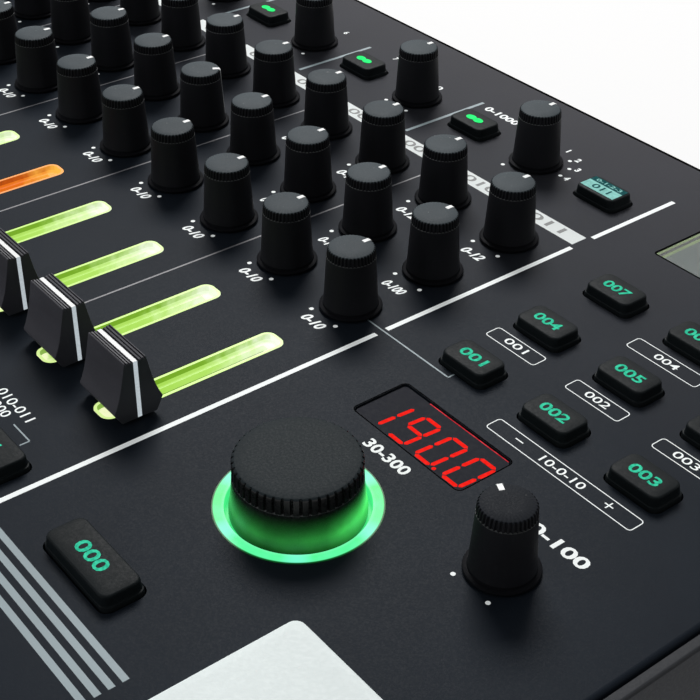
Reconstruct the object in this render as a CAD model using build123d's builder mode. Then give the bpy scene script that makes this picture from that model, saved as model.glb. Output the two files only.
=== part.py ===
from build123d import *
import os

# A desktop drum machine: a flat case with a column of three knobs, a fader and a key
# for each of its voices, a row of step keys at the front, and a display with menu keys
# on the right. The origin is on the floor below the middle of the case. +X is to the
# player's right, +Y away from the player, +Z up. All sizes are in millimetres.

os.makedirs("parts", exist_ok=True)

# ------------------------------------------------------------------ driving sizes

# Case
case_width = 409.0
case_depth = 263.0
case_height = 41.0
front_corner_radius = 4.0
rear_corner_radius = 1.2
rim_round = 0.6
wall = 2.0
floor_thickness = 2.0
ledge_width = 3.0
ledge_height = 3.0

# Front panel
panel_thickness = 1.6
panel_seam = 0.5
panel_corner_radius = 2.0
panel_bend_radius = 1.3
panel_lip_drop = 5.0

# Feet and case fasteners
foot_height = 3.0
foot_diameter = 16.0
foot_chamfer = 1.0
foot_inset_x = 30.0
foot_inset_y = 22.0
post_diameter = 9.0
post_tip_diameter = 5.6
post_tip_length = 21.0
post_clearance = 0.3
boss_diameter = 9.0
screw_diameter = 3.0
screw_clearance = 0.05
screw_head_diameter = 5.6
screw_head_height = 1.5
screw_engagement = 8.0
screw_socket_width = 2.4
screw_socket_depth = 0.9
front_post_inset = 9.5
front_post_span = 380.0
rear_post_y = 88.0
rear_posts_x = (-194.0, -66.5, 43.5, 109.5)

# Circuit boards
board_thickness = 1.6
board_drop = 9.4
board_edge_gap = 2.5
board_rear_inset = 20.5
jack_board_height = 8.4
jack_board_depth = 34.0
jack_board_width = 396.0
jack_posts_x = (-190.0, -28.0, 77.0, 188.0)
jack_post_inset = 5.0

# Voice columns
voice_count = 11
column_pitch = 22.0
last_column_x = 98.5
knob_rows = ("control", "decay", "tune")
knob_row_pitch = 22.0
front_knob_row_y = 29.2
top_row_y = 102.6
jointed_columns = (7, 8, 9, 10, 11)

# Small knobs and their rotary pots
knob_height = 14.3
knob_floor_gap = 0.3
knob_skirt_diameter = 13.0
knob_skirt_height = 0.6
knob_base_diameter = 11.4
knob_top_diameter = 9.5
knob_edge_round = 0.25
knob_bore_depth = 8.0
pointer_width = 0.8
pointer_length = 1.45
pointer_depth = 0.25
shaft_diameter = 6.0
shaft_fit = 0.08
shaft_end_gap = 0.6
knob_hole_diameter = 7.6
pot_width = 9.8
pot_depth = 11.0
pot_height = 7.0
pot_collar_diameter = 7.2
pot_collar_height = 1.4
turned_knob_angle = -35.0

# Left section of knobs
left_knob_columns = (-179.5, -154.5)

# Tempo knob, its light ring and encoder
tempo_x = 140.7
tempo_y = -15.1
tempo_knob_diameter = 22.3
tempo_knob_base_diameter = 23.8
tempo_knob_height = 10.2
tempo_knob_hollow = 0.12
tempo_knob_gap = 0.6
tempo_knob_grip_height = 3.3
tempo_groove_count = 46
tempo_groove_width = 0.5
tempo_groove_depth = 0.35
tempo_knob_chamfer = 0.35
ring_outer_diameter = 29.6
ring_inner_diameter = 15.0
ring_thickness = 3.0
ring_recess_diameter = 25.4
ring_recess_depth = 2.0
ring_flange_width = 1.6
ring_fit = 0.1
encoder_width = 14.0

# Shuffle and value knobs
shuffle_x = 173.5
shuffle_y = 1.4
shuffle_knob_angle = 65.0

# Faders
fader_travel = 30.0
fader_rest_y = -24.4
slot_width = 6.2
slot_length = 41.0
slot_corner_radius = 2.2
slot_centre_offset = 15.1
guide_fit = 0.1
guide_wall = 0.6
guide_trough_depth = 1.2
guide_flange = 1.0
guide_depth = 2.6
lever_thickness = 1.0
lever_depth = 4.0
lever_clearance = 0.4
lever_fit = 0.02
lever_reach = 8.0
lever_tip_drop = 4.0
cap_width = 12.6
cap_top_depth = 4.6
cap_base_depth = 10.2
cap_height = 13.4
cap_floor_gap = 0.6
cap_band_height = 2.7
cap_undercut = 1.4
cap_groove_count = 3
cap_groove_pitch = 0.62
cap_groove_width = 0.26
cap_groove_depth = 0.3
cap_edge_round = 0.3
slide_pot_width = 9.0
slide_pot_length = 46.0
slide_pot_height = 7.0

# Keys
key_gap = 0.35
key_travel = 1.0
key_height = 2.7
key_flange_height = 0.75
key_corner_radius = 1.6
key_step = 0.45
key_edge_round = 0.35
key_lip_width = 0.9
key_lip_height = 0.9
key_lip_gap = 0.3
key_stem_diameter = 3.4
small_key_width = 12.3
small_key_depth = 7.8
menu_columns_x = (129.7, 151.6, 173.5)
menu_rows_y = (34.6, 54.3, 74.0)
voice_key_width = 14.0
voice_key_depth = 8.0
voice_key_y = -50.5
mute_key_x = 133.4
mute_key_width = 20.2
mute_key_depth = 8.0
step_count = 16
step_pitch = 19.0
first_step_x = -118.5
step_key_width = 15.6
step_key_depth = 22.0
step_key_y = -103.5
variation_count = 12
variation_key_y = -79.5
left_key_rows_y = (2.0, -18.0, -38.0)
end_key_x = 187.0
end_keys_y = (-96.0, -110.0)
start_key_x = -179.5
start_key_y = -101.0
start_key_size = 22.0
shift_key_x = -151.0
shift_keys_y = (-92.0, -110.0)
pad_size = 33.0
pad_x = 179.3
pad_y = -48.0
pad_height = 1.8
pad_corner_radius = 1.8
switch_size = 6.0
switch_height = 3.5
switch_bore_clearance = 0.15
switch_engagement = 0.8
switch_bore_spare = 0.8

# Displays
tempo_window_x = 140.3
tempo_window_y = 14.9
tempo_window_width = 29.4
tempo_window_depth = 12.8
tempo_window_radius = 1.0
tempo_window_fit = 0.25
tempo_face_recess = 0.35
display_overlap = 0.8
display_gap = 0.1
lcd_x = 154.5
lcd_y = 102.4
lcd_view_width = 64.6
lcd_view_depth = 16.2
lcd_bezel_width = 71.0
lcd_bezel_depth = 24.0
lcd_board_width = 80.0
lcd_board_depth = 33.0
lcd_top_gap = 0.2
lcd_window_fit = 0.1
lcd_window_recess = 0.1
lcd_glass_recess = 0.4

# Rear plate and sockets
rear_plate_thickness = 1.5
rear_plate_recess = 3.5
rear_plate_fit = 0.1
socket_hole_gap = 0.15
phone_jack_x = (-170.0, -138.0, -118.0, -98.0, -78.0, -58.0, -38.0, -18.0, 2.0, 22.0, 42.0, 62.0)
phone_bore = 6.6
phone_bore_depth = 22.0
phone_body_width = 15.0
phone_body_height = 13.0
phone_body_depth = 22.0
phone_bushing_diameter = 9.2
phone_bushing_stand = 2.6
phone_nut_diameter = 13.0
phone_nut_height = 2.0
midi_socket_x = (92.0, 118.0)
midi_body_width = 20.0
midi_body_height = 20.0
midi_body_depth = 14.0
midi_collar_diameter = 18.0
midi_collar_stand = 0.6
midi_recess_diameter = 13.6
midi_recess_depth = 9.0
midi_pin_circle = 7.5
midi_pin_diameter = 1.4
usb_x = 143.0
usb_body_width = 12.0
usb_body_height = 11.0
usb_body_depth = 16.0
usb_mouth_width = 8.6
usb_mouth_height = 8.0
usb_mouth_depth = 10.0
usb_tongue_width = 5.6
usb_tongue_height = 3.2
usb_tongue_setback = 5.0
inlet_x = 165.0
inlet_body_width = 10.0
inlet_body_height = 11.0
inlet_body_depth = 14.0
inlet_bore = 6.3
inlet_bore_depth = 10.0
inlet_pin_diameter = 2.1
inlet_pin_setback = 5.0
socket_stand = 0.4
power_x = 185.0
power_body_size = 13.0
power_body_depth = 14.0
power_button_size = 7.6
power_button_fit = 0.3
power_button_stand = 3.0
power_button_depth = 11.0
power_travel = 2.0
power_button_round = 0.6
power_hole_spare = 0.5

# ------------------------------------------------------------------ levels and places

tray_bottom = foot_height
floor_top = tray_bottom + floor_thickness
panel_top = foot_height + case_height
panel_bottom = panel_top - panel_thickness
board_top = panel_bottom - board_drop
board_bottom = board_top - board_thickness
jack_board_bottom = tray_bottom + jack_board_height
jack_board_top = jack_board_bottom + board_thickness
inner_width = case_width - 2 * wall
front_y = -case_depth / 2
rear_y = case_depth / 2
rear_face_y = rear_y - rear_plate_recess
rear_inner_y = rear_face_y - rear_plate_thickness
panel_width = inner_width - 2 * panel_seam
panel_front_y = front_y + wall + panel_seam
panel_depth = rear_y - panel_front_y
panel_centre_y = (rear_y + panel_front_y) / 2
guide_top = panel_top - 0.05
slot_centre_y = fader_rest_y + slot_centre_offset
switch_top = board_top + switch_height
switch_bore_depth = switch_engagement + key_travel + switch_bore_spare
tempo_shaft_top = panel_top + tempo_knob_height - 2.5

column_x = [last_column_x - column_pitch * step for step in range(voice_count)]
column_x.reverse()
knob_row_y = [front_knob_row_y + knob_row_pitch * step for step in range(len(knob_rows))]
jointed_x = [column_x[number - 1] for number in jointed_columns]
plain_columns = [x for x in column_x if x not in jointed_x]

# Top row: keys on the odd columns, knobs on the even ones.
top_key_x = [x for index, x in enumerate(column_x) if index % 2 == 0]
top_knob_x = [x for index, x in enumerate(column_x) if index % 2 == 1]
effect_knob_x = top_knob_x[-2]
fill_knob_x = top_knob_x[-1]
value_knob_x = menu_columns_x[-1]
value_knob_y = menu_rows_y[-1]

jointed_knob_places = [(x, y) for x in jointed_x for y in knob_row_y]
jointed_knob_places += [(effect_knob_x, top_row_y), (fill_knob_x, top_row_y)]
jointed_knob_places += [(shuffle_x, shuffle_y), (value_knob_x, value_knob_y)]
joined_knob_places = [(x, y) for x in plain_columns for y in knob_row_y]
joined_knob_places += [(x, top_row_y) for x in top_knob_x[:-2]]
joined_knob_places += [(x, y) for x in left_knob_columns for y in knob_row_y + [top_row_y]]
knob_places = jointed_knob_places + joined_knob_places

menu_key_places = [(x, y) for y in menu_rows_y for x in menu_columns_x]
menu_key_places.remove((value_knob_x, value_knob_y))
effect_key_places = [(x, top_row_y) for x in top_key_x]
voice_key_places = [(x, voice_key_y) for x in column_x]
step_key_places = [(first_step_x + step_pitch * step, step_key_y) for step in range(step_count)]
pattern_key_places = [(first_step_x + step_pitch * step, variation_key_y) for step in range(variation_count)]
pattern_key_places += [(x, y) for x in left_knob_columns for y in left_key_rows_y]
pattern_key_places += [(end_key_x, y) for y in end_keys_y]
pattern_key_places += [(shift_key_x, y) for y in shift_keys_y]
small_key_places = menu_key_places + effect_key_places + pattern_key_places
all_key_places = small_key_places + voice_key_places + step_key_places
all_key_places += [(mute_key_x, voice_key_y), (start_key_x, start_key_y), (pad_x, pad_y)]

front_posts = [
    (front_post_span * share, front_y + front_post_inset)
    for share in (-1 / 2, -1 / 6, 1 / 6, 1 / 2)
]
rear_posts = [(x, rear_post_y) for x in rear_posts_x]
post_places = front_posts + rear_posts
foot_places = [
    (side * (case_width / 2 - foot_inset_x), end * (case_depth / 2 - foot_inset_y))
    for side in (-1, 1)
    for end in (-1, 1)
]
jack_post_places = [(x, rear_inner_y - jack_board_depth + jack_post_inset) for x in jack_posts_x]


# ------------------------------------------------------------------ case

# Sheet-metal front panel, bent down along its rear edge, with posts under it.
with BuildPart() as front_panel:
    with BuildSketch(Plane.XY.offset(panel_bottom)):
        with Locations((0, panel_centre_y)):
            RectangleRounded(panel_width, panel_depth, panel_corner_radius)
        with Locations(*knob_places):
            Circle(knob_hole_diameter / 2, mode=Mode.SUBTRACT)
        with Locations(*small_key_places):
            RectangleRounded(
                small_key_width + 2 * key_gap,
                small_key_depth + 2 * key_gap,
                key_corner_radius + key_gap,
                mode=Mode.SUBTRACT,
            )
        with Locations(*voice_key_places):
            RectangleRounded(
                voice_key_width + 2 * key_gap,
                voice_key_depth + 2 * key_gap,
                key_corner_radius + key_gap,
                mode=Mode.SUBTRACT,
            )
        with Locations(*step_key_places):
            RectangleRounded(
                step_key_width + 2 * key_gap,
                step_key_depth + 2 * key_gap,
                key_corner_radius + key_gap,
                mode=Mode.SUBTRACT,
            )
        with Locations((mute_key_x, voice_key_y)):
            RectangleRounded(
                mute_key_width + 2 * key_gap,
                mute_key_depth + 2 * key_gap,
                key_corner_radius + key_gap,
                mode=Mode.SUBTRACT,
            )
        with Locations((start_key_x, start_key_y)):
            RectangleRounded(
                start_key_size + 2 * key_gap,
                start_key_size + 2 * key_gap,
                key_corner_radius + key_gap,
                mode=Mode.SUBTRACT,
            )
        with Locations((pad_x, pad_y)):
            RectangleRounded(
                pad_size + 2 * key_gap,
                pad_size + 2 * key_gap,
                pad_corner_radius + key_gap,
                mode=Mode.SUBTRACT,
            )
        with Locations(*[(x, slot_centre_y) for x in column_x]):
            RectangleRounded(slot_width, slot_length, slot_corner_radius, mode=Mode.SUBTRACT)
        with Locations((tempo_x, tempo_y)):
            Circle(ring_outer_diameter / 2 + ring_fit, mode=Mode.SUBTRACT)
        with Locations((tempo_window_x, tempo_window_y)):
            RectangleRounded(
                tempo_window_width,
                tempo_window_depth,
                tempo_window_radius,
                mode=Mode.SUBTRACT,
            )
        with Locations((lcd_x, lcd_y)):
            Rectangle(lcd_view_width, lcd_view_depth, mode=Mode.SUBTRACT)
    extrude(amount=panel_thickness)
    with BuildSketch(Plane.XY.offset(panel_top - panel_lip_drop)):
        with Locations((0, rear_y - panel_thickness / 2)):
            Rectangle(panel_width - 2 * panel_corner_radius, panel_thickness)
    extrude(amount=panel_lip_drop)
    bend = front_panel.edges().filter_by(Axis.X).group_by(Axis.Y)[-1].sort_by(Axis.Z)[-1]
    fillet(bend, radius=panel_bend_radius)
    with BuildSketch(Plane.XY.offset(board_top)):
        with Locations(*post_places):
            Circle(post_diameter / 2)
    extrude(amount=panel_bottom - board_top)
    with BuildSketch(Plane.XY.offset(board_top - post_tip_length)):
        with Locations(*post_places):
            Circle(post_tip_diameter / 2)
    extrude(amount=post_tip_length)
    with BuildSketch(Plane.XY.offset(board_top - post_tip_length)):
        with Locations(*post_places):
            Circle(screw_diameter / 2 + screw_clearance)
    extrude(amount=screw_engagement + 2, mode=Mode.SUBTRACT)

front_panel.part.label = "front_panel"
export_step(front_panel.part, "parts/front_panel.step")

# Moulded tray: floor, three walls, the ledge that carries the panel, and bosses.
with BuildPart() as case_tray:
    with BuildSketch(Plane.XY.offset(tray_bottom)) as outline:
        Rectangle(case_width, case_depth)
        fillet(outline.vertices().group_by(Axis.Y)[0], radius=front_corner_radius)
        fillet(outline.vertices().group_by(Axis.Y)[-1], radius=rear_corner_radius)
    extrude(amount=case_height)
    fillet(case_tray.faces().sort_by(Axis.Z)[-1].edges(), radius=rim_round)
    with BuildSketch(Plane.XY.offset(floor_top)):
        with Locations((0, wall)):
            Rectangle(inner_width, case_depth)
    extrude(amount=case_height, mode=Mode.SUBTRACT)
    with BuildSketch(Plane.XY.offset(panel_bottom - ledge_height)):
        with Locations((0, (front_y + wall + rear_inner_y) / 2)):
            Rectangle(inner_width, rear_inner_y - front_y - wall)
        with Locations((0, (front_y + wall + ledge_width + rear_y) / 2)):
            Rectangle(
                inner_width - 2 * ledge_width,
                rear_y - front_y - wall - ledge_width,
                mode=Mode.SUBTRACT,
            )
    extrude(amount=ledge_height)
    with BuildSketch(Plane.XY.offset(floor_top)):
        with Locations(*post_places):
            Circle(boss_diameter / 2)
    extrude(amount=board_bottom - floor_top)
    with BuildSketch(Plane.XY.offset(floor_top)):
        with Locations(*jack_post_places):
            Circle(boss_diameter / 2)
    extrude(amount=jack_board_bottom - floor_top)
    with BuildSketch(Plane.XY.offset(board_top - post_tip_length - post_clearance)):
        with Locations(*post_places):
            Circle(post_tip_diameter / 2 + post_clearance)
    extrude(amount=board_bottom, mode=Mode.SUBTRACT)
    with Locations(*[Plane(origin=(x, y, tray_bottom), z_dir=(0, 0, -1)) for x, y in post_places]):
        CounterSinkHole(
            screw_diameter / 2 + screw_clearance,
            screw_head_diameter / 2 + screw_clearance,
            depth=board_bottom - tray_bottom,
        )

case_tray.part.label = "case_tray"
export_step(case_tray.part, "parts/case_tray.step")

# Four rubber feet on the tray.
with BuildPart() as rubber_feet:
    with BuildSketch(Plane.XY):
        with Locations(*foot_places):
            Circle(foot_diameter / 2)
    extrude(amount=foot_height)
    chamfer(rubber_feet.faces().group_by(Axis.Z)[0].edges(), length=foot_chamfer)

rubber_feet.part.label = "rubber_feet"
export_step(rubber_feet.part, "parts/rubber_feet.step")

# Countersunk screws from below into the panel's posts.
screw_tip_z = board_top - post_tip_length + screw_engagement
with BuildPart() as screw_blank:
    with BuildSketch(Plane.XZ):
        with BuildLine():
            Polyline(
                (0, tray_bottom),
                (screw_head_diameter / 2, tray_bottom),
                (screw_diameter / 2, tray_bottom + screw_head_height),
                (screw_diameter / 2, screw_tip_z - 0.4),
                (screw_diameter / 2 - 0.4, screw_tip_z),
                (0, screw_tip_z),
                close=True,
            )
        make_face()
    revolve(axis=Axis.Z)
    with BuildSketch(Plane.XY.offset(tray_bottom)):
        RegularPolygon(screw_socket_width / 2, 6)
    extrude(amount=screw_socket_depth, mode=Mode.SUBTRACT)

with BuildPart() as case_screws:
    with Locations(*post_places):
        add(screw_blank.part)

case_screws.part.label = "case_screws"
export_step(case_screws.part, "parts/case_screws.step")

# ------------------------------------------------------------------ circuit boards

# Main board, clamped between the panel's posts and the tray's bosses.
board_front_y = front_y + wall + board_edge_gap
board_rear_y = rear_y - board_rear_inset
with BuildPart() as main_board:
    with BuildSketch(Plane.XY.offset(board_bottom)):
        with Locations((0, (board_front_y + board_rear_y) / 2)):
            Rectangle(inner_width - 2 * board_edge_gap - ledge_width, board_rear_y - board_front_y)
        with Locations(*post_places):
            Circle(post_tip_diameter / 2 + post_clearance, mode=Mode.SUBTRACT)
    extrude(amount=board_thickness)

main_board.part.label = "main_board"
export_step(main_board.part, "parts/main_board.step")

# Jack board on its own short bosses behind it.
with BuildPart() as jack_board:
    with BuildSketch(Plane.XY.offset(jack_board_bottom)):
        with Locations((0, rear_inner_y - jack_board_depth / 2)):
            Rectangle(jack_board_width, jack_board_depth)
    extrude(amount=board_thickness)

jack_board.part.label = "jack_board"
export_step(jack_board.part, "parts/jack_board.step")

# ------------------------------------------------------------------ knobs

# One knob on its metal shaft, about the Z axis, pointer towards +Y.
knob_bottom = panel_top + knob_floor_gap
knob_top = panel_top + knob_height
shaft_bottom = board_top + shaft_end_gap
shaft_top = knob_bottom + knob_bore_depth
with BuildPart() as knob_blank:
    with BuildSketch(Plane.XZ):
        with BuildLine():
            Polyline(
                (0, knob_bottom),
                (knob_skirt_diameter / 2, knob_bottom),
                (knob_skirt_diameter / 2, knob_bottom + knob_skirt_height * 0.6),
                (knob_base_diameter / 2, knob_bottom + knob_skirt_height),
                (knob_top_diameter / 2, knob_top),
                (0, knob_top),
                close=True,
            )
        make_face()
    revolve(axis=Axis.Z)
    fillet(knob_blank.faces().sort_by(Axis.Z)[-1].edges(), radius=knob_edge_round)
    with BuildSketch(Plane.XY.offset(knob_bottom)):
        Circle(shaft_diameter / 2 + lever_fit)
    extrude(amount=knob_bore_depth + lever_fit, mode=Mode.SUBTRACT)
    with BuildSketch(Plane.XY.offset(knob_top)):
        with Locations((0, knob_top_diameter / 2 - pointer_length / 2 + 0.5)):
            Rectangle(pointer_width, pointer_length + 1.0)
    extrude(amount=-pointer_depth, mode=Mode.SUBTRACT)
    with BuildSketch(Plane.XY.offset(shaft_bottom)):
        Circle(shaft_diameter / 2)
    extrude(amount=shaft_top - shaft_bottom)

# The knobs that turn on their own: three to a column on the last five columns.
for number, x in zip(jointed_columns, jointed_x):
    for row, y in zip(knob_rows, knob_row_y):
        is_turned = row == "decay" and number == jointed_columns[0]
        with BuildPart() as voice_knob:
            with Locations((x, y)):
                add(knob_blank.part, rotation=(0, 0, turned_knob_angle if is_turned else 0))
        voice_knob.part.label = f"{row}_knob_{number}"
        export_step(voice_knob.part, f"parts/{row}_knob_{number}.step")

with BuildPart() as effect_knob:
    with Locations((effect_knob_x, top_row_y)):
        add(knob_blank.part)

effect_knob.part.label = "effect_knob"
export_step(effect_knob.part, "parts/effect_knob.step")

with BuildPart() as fill_knob:
    with Locations((fill_knob_x, top_row_y)):
        add(knob_blank.part)

fill_knob.part.label = "fill_knob"
export_step(fill_knob.part, "parts/fill_knob.step")

with BuildPart() as shuffle_knob:
    with Locations((shuffle_x, shuffle_y)):
        add(knob_blank.part, rotation=(0, 0, shuffle_knob_angle))

shuffle_knob.part.label = "shuffle_knob"
export_step(shuffle_knob.part, "parts/shuffle_knob.step")

with BuildPart() as value_knob:
    with Locations((value_knob_x, value_knob_y)):
        add(knob_blank.part)

value_knob.part.label = "value_knob"
export_step(value_knob.part, "parts/value_knob.step")

# The other knobs, joined in one node: columns 1 to 6, their top row, the left section.
with BuildPart() as joined_knobs:
    with Locations(*joined_knob_places):
        add(knob_blank.part)

joined_knobs.part.label = "joined_knobs"
export_step(joined_knobs.part, "parts/joined_knobs.step")

# Large tempo knob on the encoder's shaft: it flares down into the ring's recess and has
# a grooved grip round its top.
tempo_top = panel_top + tempo_knob_height
tempo_bottom = panel_top - ring_recess_depth + tempo_knob_gap
tempo_grip_bottom = tempo_top - tempo_knob_grip_height
tempo_flare_middle = (
    (tempo_knob_base_diameter + tempo_knob_diameter) / 4 - tempo_knob_hollow,
    (panel_top + tempo_grip_bottom) / 2,
)
with BuildPart() as tempo_knob:
    with BuildSketch(Plane.XZ):
        with BuildLine():
            ThreePointArc(
                (tempo_knob_base_diameter / 2, panel_top),
                tempo_flare_middle,
                (tempo_knob_diameter / 2, tempo_grip_bottom),
            )
            Polyline(
                (tempo_knob_diameter / 2, tempo_grip_bottom),
                (tempo_knob_diameter / 2, tempo_top - tempo_knob_chamfer),
                (tempo_knob_diameter / 2 - tempo_knob_chamfer, tempo_top),
                (0, tempo_top),
                (0, tempo_bottom),
                (tempo_knob_base_diameter / 2, tempo_bottom),
                (tempo_knob_base_diameter / 2, panel_top),
            )
        make_face()
    revolve(axis=Axis.Z)
    with BuildSketch(Plane.XY.offset(tempo_top)):
        with PolarLocations(tempo_knob_diameter / 2, tempo_groove_count):
            Rectangle(2 * tempo_groove_depth, tempo_groove_width)
    extrude(amount=-tempo_knob_grip_height, mode=Mode.SUBTRACT)
    with BuildSketch(Plane.XY.offset(tempo_bottom)):
        Circle(shaft_diameter / 2 + lever_fit)
    extrude(amount=tempo_shaft_top + lever_fit - tempo_bottom, mode=Mode.SUBTRACT)
    with BuildSketch(Plane.XY.offset(shaft_bottom)):
        Circle(shaft_diameter / 2)
    extrude(amount=tempo_shaft_top - shaft_bottom)

tempo_knob.part.position = (tempo_x, tempo_y, 0)
tempo_knob.part.label = "tempo_knob"
export_step(tempo_knob.part, "parts/tempo_knob.step")

# Clear ring round the tempo knob: flush with the panel, flanged below it, with a recess
# for the knob's foot.
with BuildPart() as tempo_light_ring:
    with BuildSketch(Plane.XY.offset(panel_top - ring_thickness)):
        with Locations((tempo_x, tempo_y)):
            Circle(ring_outer_diameter / 2)
            Circle(ring_inner_diameter / 2, mode=Mode.SUBTRACT)
    extrude(amount=ring_thickness)
    with BuildSketch(Plane.XY.offset(panel_top - ring_thickness)):
        with Locations((tempo_x, tempo_y)):
            Circle(ring_outer_diameter / 2 + ring_flange_width)
            Circle(ring_inner_diameter / 2, mode=Mode.SUBTRACT)
    extrude(amount=ring_thickness - panel_thickness)
    with BuildSketch(Plane.XY.offset(panel_top)):
        with Locations((tempo_x, tempo_y)):
            Circle(ring_recess_diameter / 2)
    extrude(amount=-ring_recess_depth, mode=Mode.SUBTRACT)

tempo_light_ring.part.label = "tempo_light_ring"
export_step(tempo_light_ring.part, "parts/tempo_light_ring.step")

# Pot housings under the knobs, and the larger encoder under the tempo knob.
with BuildPart() as pot_housings:
    with BuildSketch(Plane.XY.offset(board_top)):
        with Locations(*knob_places):
            Rectangle(pot_width, pot_depth)
        with Locations((tempo_x, tempo_y)):
            Rectangle(encoder_width, encoder_width)
    extrude(amount=pot_height)
    with BuildSketch(Plane.XY.offset(board_top + pot_height)):
        with Locations(*knob_places, (tempo_x, tempo_y)):
            Circle(pot_collar_diameter / 2)
    extrude(amount=pot_collar_height)
    with BuildSketch(Plane.XY.offset(shaft_bottom - shaft_fit)):
        with Locations(*knob_places, (tempo_x, tempo_y)):
            Circle(shaft_diameter / 2 + shaft_fit)
    extrude(amount=pot_height + pot_collar_height, mode=Mode.SUBTRACT)

pot_housings.part.label = "pot_housings"
export_step(pot_housings.part, "parts/pot_housings.step")

# ------------------------------------------------------------------ faders

# One fader: a wedge-shaped cap, drawn in again below its widest line, pushed onto the
# flat lever of its slide pot.
cap_bottom = panel_top + cap_floor_gap
cap_band_top = cap_bottom + cap_band_height
cap_top = panel_top + cap_height
lever_bottom = board_top + slide_pot_height - lever_tip_drop
lever_top = cap_bottom + lever_reach
with BuildPart() as fader_blank:
    with BuildSketch(Plane.XY.offset(cap_bottom)):
        Rectangle(cap_width, cap_base_depth - 2 * cap_undercut)
    with BuildSketch(Plane.XY.offset(cap_band_top)):
        Rectangle(cap_width, cap_base_depth)
    loft()
    with BuildSketch(Plane.XY.offset(cap_band_top)):
        Rectangle(cap_width, cap_base_depth)
    with BuildSketch(Plane.XY.offset(cap_top)):
        Rectangle(cap_width, cap_top_depth)
    loft()
    fillet(fader_blank.edges().filter_by(Axis.X).group_by(Axis.Z)[-1], radius=cap_edge_round)
    with BuildSketch(Plane.XY.offset(cap_top)):
        for side in (-1, 1):
            for step in range(cap_groove_count):
                with Locations((0, side * (cap_groove_pitch * (step + 1) + cap_groove_pitch / 3))):
                    Rectangle(cap_width, cap_groove_width)
    extrude(amount=-cap_groove_depth, mode=Mode.SUBTRACT)
    with BuildSketch(Plane.XY.offset(cap_bottom)):
        Rectangle(lever_thickness + 2 * lever_fit, lever_depth + 2 * lever_fit)
    extrude(amount=lever_reach + lever_fit, mode=Mode.SUBTRACT)
    with BuildSketch(Plane.XY.offset(lever_bottom)):
        Rectangle(lever_thickness, lever_depth)
    extrude(amount=lever_top - lever_bottom)

for number, x in enumerate(column_x, start=1):
    with BuildPart() as fader:
        with Locations((x, fader_rest_y)):
            add(fader_blank.part)
    fader.part.label = f"fader_{number}"
    export_step(fader.part, f"parts/fader_{number}.step")

# Lit troughs that fill the fader slots, with a slit for the lever.
lever_slit_width = lever_thickness + 2 * lever_clearance
lever_slit_length = fader_travel + lever_depth + 2 * lever_clearance
lever_slit_y = fader_rest_y + fader_travel / 2
slot_places = [(x, slot_centre_y) for x in column_x]
slit_places = [(x, lever_slit_y) for x in column_x]
guide_width = slot_width - 2 * guide_fit
guide_length = slot_length - 2 * guide_fit
guide_flange_width = slot_width + 2 * guide_flange
guide_flange_length = slot_length + 2 * guide_flange
with BuildPart() as fader_light_guides:
    with BuildSketch(Plane.XY.offset(guide_top - guide_depth)):
        with Locations(*slot_places):
            RectangleRounded(guide_width, guide_length, slot_corner_radius - guide_fit)
    extrude(amount=guide_depth)
    with BuildSketch(Plane.XY.offset(guide_top - guide_depth)):
        with Locations(*slot_places):
            RectangleRounded(guide_flange_width, guide_flange_length, slot_corner_radius)
    extrude(amount=panel_bottom - guide_top + guide_depth)
    with BuildSketch(Plane.XY.offset(guide_top)):
        with Locations(*slot_places):
            RectangleRounded(
                guide_width - 2 * guide_wall,
                guide_length - 2 * guide_wall,
                slot_corner_radius - guide_fit - guide_wall,
            )
    extrude(amount=-guide_trough_depth, mode=Mode.SUBTRACT)
    with BuildSketch(Plane.XY.offset(guide_top)):
        with Locations(*slit_places):
            Rectangle(lever_slit_width, lever_slit_length)
    extrude(amount=-guide_depth, mode=Mode.SUBTRACT)

fader_light_guides.part.label = "fader_light_guides"
export_step(fader_light_guides.part, "parts/fader_light_guides.step")

# Slide pots under the slots.
with BuildPart() as slide_pots:
    with BuildSketch(Plane.XY.offset(board_top)):
        with Locations(*slit_places):
            Rectangle(slide_pot_width, slide_pot_length)
    extrude(amount=slide_pot_height)
    with BuildSketch(Plane.XY.offset(lever_bottom - lever_clearance)):
        with Locations(*slit_places):
            Rectangle(lever_slit_width, lever_slit_length)
    extrude(amount=slide_pot_height, mode=Mode.SUBTRACT)

slide_pots.part.label = "slide_pots"
export_step(slide_pots.part, "parts/slide_pots.step")


# ------------------------------------------------------------------ keys

def key_blank(width, depth, height=key_height, corner=key_corner_radius):
    """One key about the Z axis: cap, flange, lip below the panel and switch plunger."""
    cap_base = panel_top + key_flange_height
    lip_top = panel_bottom - key_lip_gap
    lip_bottom = lip_top - key_lip_height
    with BuildPart() as key:
        with BuildSketch(Plane.XY.offset(lip_bottom)):
            RectangleRounded(width, depth, corner)
        extrude(amount=cap_base - lip_bottom)
        with BuildSketch(Plane.XY.offset(cap_base)):
            RectangleRounded(width - 2 * key_step, depth - 2 * key_step, corner)
        extrude(amount=panel_top + height - cap_base)
        fillet(key.faces().sort_by(Axis.Z)[-1].edges(), radius=key_edge_round)
        with BuildSketch(Plane.XY.offset(lip_bottom)):
            Rectangle(width + 2 * key_lip_width, depth + 2 * key_lip_width)
        extrude(amount=key_lip_height)
        with BuildSketch(Plane.XY.offset(switch_top - switch_engagement)):
            Circle(key_stem_diameter / 2)
        extrude(amount=lip_bottom - switch_top + switch_engagement)
    return key.part


small_key = key_blank(small_key_width, small_key_depth)

with BuildPart() as menu_keys:
    with Locations(*menu_key_places):
        add(small_key)

menu_keys.part.label = "menu_keys"
export_step(menu_keys.part, "parts/menu_keys.step")

with BuildPart() as effect_keys:
    with Locations(*effect_key_places):
        add(small_key)

effect_keys.part.label = "effect_keys"
export_step(effect_keys.part, "parts/effect_keys.step")

with BuildPart() as pattern_keys:
    with Locations(*pattern_key_places):
        add(small_key)

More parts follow.
